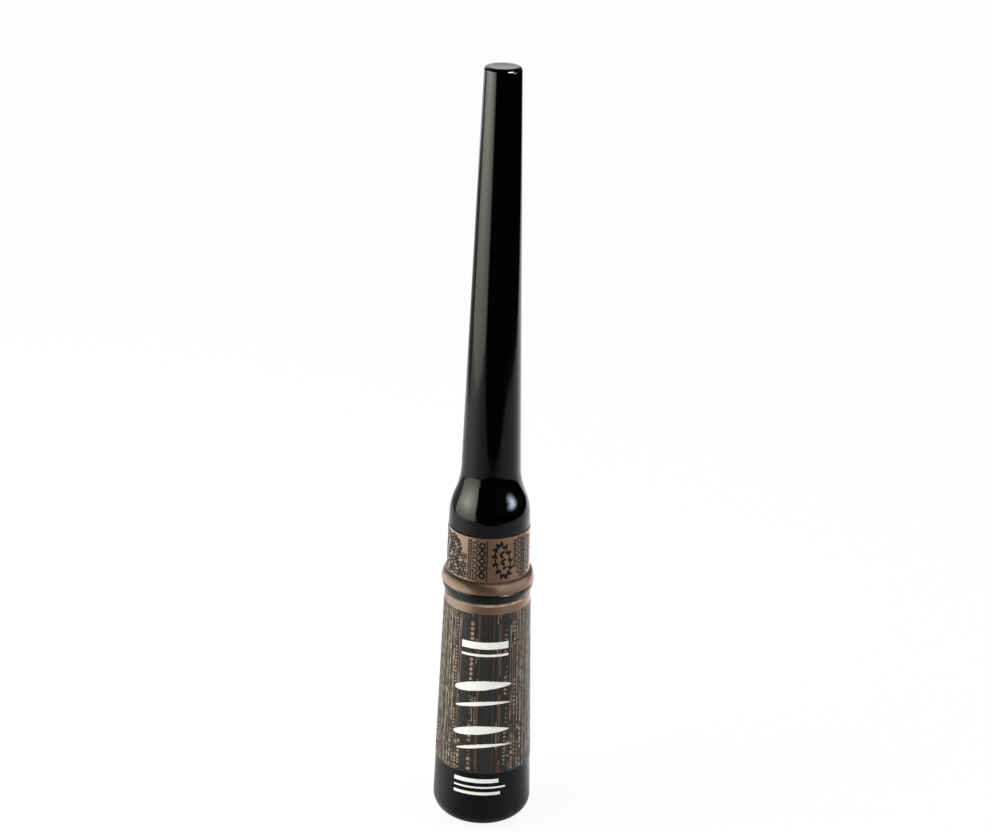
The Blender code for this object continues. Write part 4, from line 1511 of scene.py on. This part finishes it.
def glowing_cloth(name, middle, edge, reach, rise, fall=1.0, tint="#FFFFFF"):
    """Lit diffuser cloth: one level in the middle, and another at its reach across and its rise."""
    material = bpy.data.materials.new(name)
    tree = emptied(material)
    place = add_node(tree, "TexCoord").outputs["Object"]
    scaled = add_node(
        tree, "VectorMath", {0: place, 1: (1 / reach, 1 / rise, 0.0)}, operation="MULTIPLY"
    )
    falloff = add_node(tree, "TexGradient", {0: scaled}, gradient_type="SPHERICAL")
    bent = add_node(tree, "Math", {0: falloff.outputs["Fac"], 1: fall}, operation="POWER")
    level = add_node(tree, "MapRange", {"Value": bent, "To Min": edge, "To Max": middle})
    glow = add_node(tree, "Emission", {"Color": (*linear(tint), 1.0), "Strength": level})
    back = add_node(tree, "BsdfDiffuse", {"Color": (0.02, 0.02, 0.02, 1.0)})
    behind = add_node(tree, "NewGeometry").outputs["Backfacing"]
    mix = add_node(tree, "MixShader", {0: behind, 1: glow, 2: back})
    add_node(tree, "OutputMaterial", {"Surface": mix})
    return material


def lit_only(item, names, state="INCLUDE"):
    """Let a lamp or card reach only the named pieces, or all but those."""
    pieces = bpy.data.collections.new(item.name + "_pieces")
    for name in names:
        pieces.objects.link(bpy.data.objects[name])
    for member in pieces.collection_objects:
        member.light_linking.link_state = state
    item.light_linking.receiver_collection = pieces


# Watts for each square metre of a fill lamp at a level of one, and its cool tint
FILL_POWER = 4
FILL_TINT = "#E0F6FF"


def fill_lamp(name, centre, facing, width, height, level, names):
    """Hang a soft lamp that lights only the named pieces; a level of one is white paper."""
    lamp = bpy.data.lights.new(name, "AREA")
    lamp.shape = "RECTANGLE"
    lamp.size = width
    lamp.size_y = height
    lamp.energy = FILL_POWER * width * height * level
    lamp.color = linear(FILL_TINT)
    item = bpy.data.objects.new(name, lamp)
    bpy.context.scene.collection.objects.link(item)
    hang(item, "-Z", centre, facing)
    lit_only(item, names)


# Levels of the paper in gloss, from in front of the object (nothing) to behind it (one)
PAPER_LEFT = (
    (0.0, 0.206), (0.07, 0.244), (0.12, 0.3), (0.18, 0.37), (0.25, 0.51), (0.33, 0.61), (0.41, 0.7),
    (0.5, 0.7), (0.59, 0.675), (0.67, 0.6), (0.75, 0.63), (0.88, 0.72), (1.0, 0.87),
)
PAPER_RIGHT = (
    (0.0, 0.206), (0.07, 0.231), (0.18, 0.324), (0.33, 0.35), (0.5, 0.454), (0.59, 0.551),
    (0.67, 0.681), (0.75, 0.937), (0.88, 1.25), (1.0, 1.3),
)


def paper_level(tree, behind, distance, stops, far):
    """Return how bright one side of the paper looks in gloss, by direction and distance."""
    peak = max(level for _, level in stops)
    ramp = add_node(tree, "ValToRGB", {"Fac": behind})
    elements = ramp.color_ramp.elements
    while len(elements) < len(stops):
        elements.new(1.0)
    for element, (place, level) in zip(elements, stops):
        element.position = place
        element.color = (level / peak, level / peak, level / peak, 1.0)
    near = {0: ramp.outputs["Color"], 1: peak}
    graded = add_node(tree, "Math", near, operation="MULTIPLY")
    span_away = {"From Min": 0.3, "From Max": 0.6, "To Min": 1.0, "To Max": far}
    fade = add_node(tree, "MapRange", {"Value": distance, **span_away})
    return add_node(tree, "Math", {0: graded, 1: fade}, operation="MULTIPLY")


def white_sweep_paper():
    """White background paper: reads as white to the eye, keeps a soft shadow, and dims in gloss."""
    material = bpy.data.materials.new("white_sweep_paper")
    tree = emptied(material)
    path = add_node(tree, "LightPath").outputs
    eyes = {0: path["Is Camera Ray"], 1: path["Is Transmission Ray"]}
    seen = add_node(tree, "Math", eyes, operation="MAXIMUM")
    factor = add_node(tree, "Math", {0: seen, 1: 0.86}, operation="MULTIPLY")
    # Paper fibres mottle the white by about one part in a hundred, some 2 mm wide.
    fibres = spots(tree, 2 * MM, 3.0)
    mottle = add_node(tree, "MapRange", {"Value": fibres, "From Min": 0.35, "From Max": 0.65})
    greys = {0: mottle, 6: (0.86, 0.86, 0.86, 1.0), 7: (0.88, 0.88, 0.88, 1.0)}
    tone = add_node(tree, "Mix", greys, data_type="RGBA").outputs[2]
    paper = add_node(tree, "BsdfDiffuse", {"Color": tone})
    glow = add_node(tree, "Emission", {"Color": (1.0, 1.0, 1.0, 1.0), "Strength": 1.04})
    lit = add_node(tree, "MixShader", {0: factor, 1: paper, 2: glow})
    # Gloss sees the paper dim in front of the object, brighter beside it and white behind.
    place = add_node(tree, "TexCoord").outputs["Object"]
    heading = add_node(tree, "VectorMath", {0: place}, operation="NORMALIZE")
    parts = add_node(tree, "SeparateXYZ", {0: heading}).outputs
    behind = add_node(tree, "MapRange", {"Value": parts["Y"], "From Min": -1.0, "From Max": 1.0})
    # Some way off, the paper rises into light on the left and falls into shade on the right.
    distance = add_node(tree, "VectorMath", {0: place}, operation="LENGTH").outputs["Value"]
    side = add_node(tree, "MapRange", {"Value": parts["X"], "From Min": -0.1, "From Max": 0.1})
    left = paper_level(tree, behind, distance, PAPER_LEFT, 2.3)
    right = paper_level(tree, behind, distance, PAPER_RIGHT, 0.15)
    level = add_node(tree, "Mix", {0: side, 2: left, 3: right}, data_type="FLOAT")
    dim = add_node(tree, "Emission", {"Color": (1.0, 1.0, 1.0, 1.0), "Strength": level})
    mix = add_node(tree, "MixShader", {0: path["Is Glossy Ray"], 1: lit, 2: dim})
    add_node(tree, "OutputMaterial", {"Surface": mix})
    return material


# Edge of the black felt on the floor, in millimetres, from the front on the left to the far right
FELT_EDGE = (
    (-2300, -3100), (-163, -228), (-136, -210), (-93, -199), (-62, -190), (0, -178), (60, -175),
    (106, -168), (146, -157), (183, -138), (212, -108), (235, -66), (250, -10), (255, 58),
    (256, 130), (260, 230), (273, 340), (300, 430), (420, 700), (1500, 3100), (3100, 3100),
    (3100, -3100),
)
FLOOR_REACH = 3.0


def black_flag_felt(colours, tree, shader):
    """Black studio felt, which swallows light."""
    settle(shader, (0.004, 0.004, 0.004), 1.0, Specular_IOR_Level=0.0)


def studio_room(ambient):
    """Light the room: white to the camera, plain to matt faces, and in gloss white only behind."""
    world = bpy.data.worlds.new("studio_room")
    bpy.context.scene.world = world
    tree = emptied(world)
    path = add_node(tree, "LightPath").outputs
    place = add_node(tree, "TexCoord").outputs["Generated"]
    parts = add_node(tree, "SeparateXYZ", {0: place}).outputs
    # Gloss sees a dark room on the camera's side, a dim one to the right, and white behind.
    levels = []
    for axis, start, stop, top in (
        ("X", -0.1, 0.9, 0.03), ("X", -0.1, 0.1, 1.0), ("Y", 0.45, 0.8, 0.3), ("Y", 0.6, 0.9, 0.15),
    ):
        rise = {"From Min": start, "From Max": stop, "To Min": 0.0, "To Max": top}
        levels.append(add_node(tree, "MapRange", {"Value": parts[axis], **rise}))
    room, side, white_left, white_right = levels
    sides = {0: side, 2: white_left, 3: white_right}
    white = add_node(tree, "Mix", sides, data_type="FLOAT")
    behind = add_node(tree, "Math", {0: room, 1: white}, operation="ADD")
    unseen = {0: path["Is Glossy Ray"], 2: ambient, 3: behind}
    plain = add_node(tree, "Mix", unseen, data_type="FLOAT")
    level = add_node(tree, "Mix", {0: path["Is Camera Ray"], 2: plain, 3: 1.0}, data_type="FLOAT")
    light = add_node(tree, "Background", {"Color": (1.0, 1.0, 1.0, 1.0), "Strength": level})
    add_node(tree, "OutputWorld", {"Surface": light})


def around(azimuth, distance, height):
    """Return a studio place, its azimuth counted from the camera's side to the right."""
    return polar(distance, FRONT + math.radians(azimuth), height)


class EYELINER_OT_studio(bpy.types.Operator):
    """Lay the white floor, hang the cards and lamps, and set the camera"""

    bl_idname = "eyeliner.studio"
    bl_label = "Studio"

    def execute(self, context):
        studio = context.scene.eyeliner_studio
        reach = FLOOR_REACH
        floor = sheet("floor", box_corners(-reach, reach, -reach, reach), white_sweep_paper())
        # Black felt on the floor keeps the gloss dark in front and to the right.
        felt = sheet("felt", [(x * MM, y * MM) for x, y in FELT_EDGE], finish_of(black_flag_felt))
        felt.location.z = 0.5 * MM
        for ray in ("camera", "diffuse", "shadow", "transmission"):
            setattr(felt, "visible_" + ray, False)

        axis = (0.0, 0.0, 0.0)
        waist = (0.0, 0.0, 0.06)
        # The softbox is brightest at this height.
        hot = 0.12
        softbox = card(
            "softbox_left", around(-75.8, 0.232, hot), (0.0, 0.0, hot),
            box_corners(-0.162, 0.162, 0.003 - hot, 0.13),
            glowing_cloth(
                "softbox_cloth", studio.softbox, studio.softbox_edge, 0.24, 0.13, 2.0, "#FBFBEC"
            ),
        )
        # The softbox's own side hides the white paper behind it on the left.
        casing = [
            (-0.028, 0.001), (0.132, 0.001), (0.132, 0.04), (0.045, 0.068), (0.017, 0.1),
            (-0.028, 0.1),
        ]
        side_cloth = glowing_cloth("softbox_casing", 0.12, 0.45, 0.15, 0.15)
        side = card("softbox_side", around(-118, 0.212, 0.0), axis, casing, side_cloth)
        window = card(
            "window_right", around(73, 0.5, 0.162), waist, box_corners(-0.22, 0.22, -0.09, 0.09),
            glowing_cloth("window_cloth", studio.window, 0.0, 0.22, 0.09, 1.7, "#E8F0FF"),
        )
        spark = card(
            "spark_lamp", around(53, 0.45, 0.42), (0.0, 0.0, 0.12),
            box_corners(-0.2, 0.2, -0.1, 0.1),
            glowing_cloth("spark_cloth", studio.spark, 0.0, 0.2, 0.1),
        )
        card(
            "backlight_card", (0.0, 0.7, 0.42), waist, box_corners(-0.45, 0.14, -0.25, 0.25),
            glowing_cloth("backlight_cloth", studio.backlight, studio.backlight, 0.45, 0.25),
        )
        side.visible_diffuse = False
        spark.visible_diffuse = False
        # Flags keep the softbox and window off the lacquer, which has weaker lamps of its own.
        lacquered = ("collar_fine", "bottle_shell_fine")
        lit_only(softbox, lacquered, "EXCLUDE")
        lit_only(window, lacquered, "EXCLUDE")
        # A snoot keeps the spark on the black gloss and off the lacquer.
        lit_only(spark, ("handle_fine", "trim_ring_fine"))
        foot = (0.0, 0.0, 0.05)
        high = (0.0, 0.0, 0.246)
        for name, centre, facing, width, height in (
            ("pearl_left", around(-87, 0.135, 0.046), high, 0.2, 0.157),
            ("pearl_front", around(24, 0.25, 0.25), foot, 0.3, 0.2),
            ("pearl_right", around(66, 0.13, 0.07), foot, 0.26, 0.11),
        ):
            fill_lamp(name, centre, facing, width, height, getattr(studio, name), lacquered)
        studio_room(studio.ambient)

        context.scene.view_settings.view_transform = "Standard"
        lens = bpy.data.cameras.new("photo_camera")
        lens.sensor_fit = "HORIZONTAL"
        lens.sensor_width = 36.0
        lens.lens = studio.camera_lens
        lens.clip_start = 0.01
        lens.clip_end = 20.0
        camera = bpy.data.objects.new("photo_camera", lens)
        context.scene.collection.objects.link(camera)
        place = (studio.camera_aside, -studio.camera_distance, studio.camera_height)
        camera.matrix_world = (
            Matrix.Translation(place)
            @ Matrix.Rotation(math.pi / 2 - studio.camera_pitch, 4, "X")
            @ Matrix.Rotation(studio.camera_roll, 4, "Z")
        )
        context.scene.camera = camera
        return {"FINISHED"}


class EYELINER_PT_panel(bpy.types.Panel):
    """The list of the eyeliner's pieces and its studio"""

    bl_idname = "EYELINER_PT_panel"
    bl_label = "Eyeliner"
    bl_space_type = "VIEW_3D"
    bl_region_type = "UI"
    bl_category = "Eyeliner"

    def draw(self, context):
        for operator in OPERATORS:
            self.layout.operator(operator.bl_idname)
        for group in ("eyeliner_sizes", "eyeliner_colours", "eyeliner_studio"):
            box = self.layout.box()
            settings = getattr(context.scene, group)
            for name in settings.bl_rna.properties.keys():
                if name not in ("rna_type", "name"):
                    box.prop(settings, name)


GROUPS = {
    "eyeliner_sizes": EyelinerSizes, "eyeliner_colours": EyelinerColours,
    "eyeliner_studio": EyelinerStudio,
}
OPERATORS = (
    EYELINER_OT_bottle_shell, EYELINER_OT_bottle_print, EYELINER_OT_white_strokes, EYELINER_OT_vial,
    EYELINER_OT_wiper, EYELINER_OT_mixing_ball, EYELINER_OT_seal_ring, EYELINER_OT_inner_cap,
    EYELINER_OT_trim_ring, EYELINER_OT_collar, EYELINER_OT_handle, EYELINER_OT_applicator,
    EYELINER_OT_studio,
)


def register():
    """Register the settings, the operators and the panel."""
    for name, group in GROUPS.items():
        bpy.utils.register_class(group)
        setattr(bpy.types.Scene, name, PointerProperty(type=group))
    for operator in OPERATORS:
        bpy.utils.register_class(operator)
    bpy.utils.register_class(EYELINER_PT_panel)


def unregister():
    """Take the panel, the operators and the settings away again."""
    bpy.utils.unregister_class(EYELINER_PT_panel)
    for operator in reversed(OPERATORS):
        bpy.utils.unregister_class(operator)
    for name, group in GROUPS.items():
        delattr(bpy.types.Scene, name)
        bpy.utils.unregister_class(group)


def main():
    """Register the add-on and run its operators in order."""
    register()
    for operator in OPERATORS:
        family, action = operator.bl_idname.split(".")
        getattr(getattr(bpy.ops, family), action)()
    bpy.context.view_layer.update()


if __name__ == "__main__":
    main()
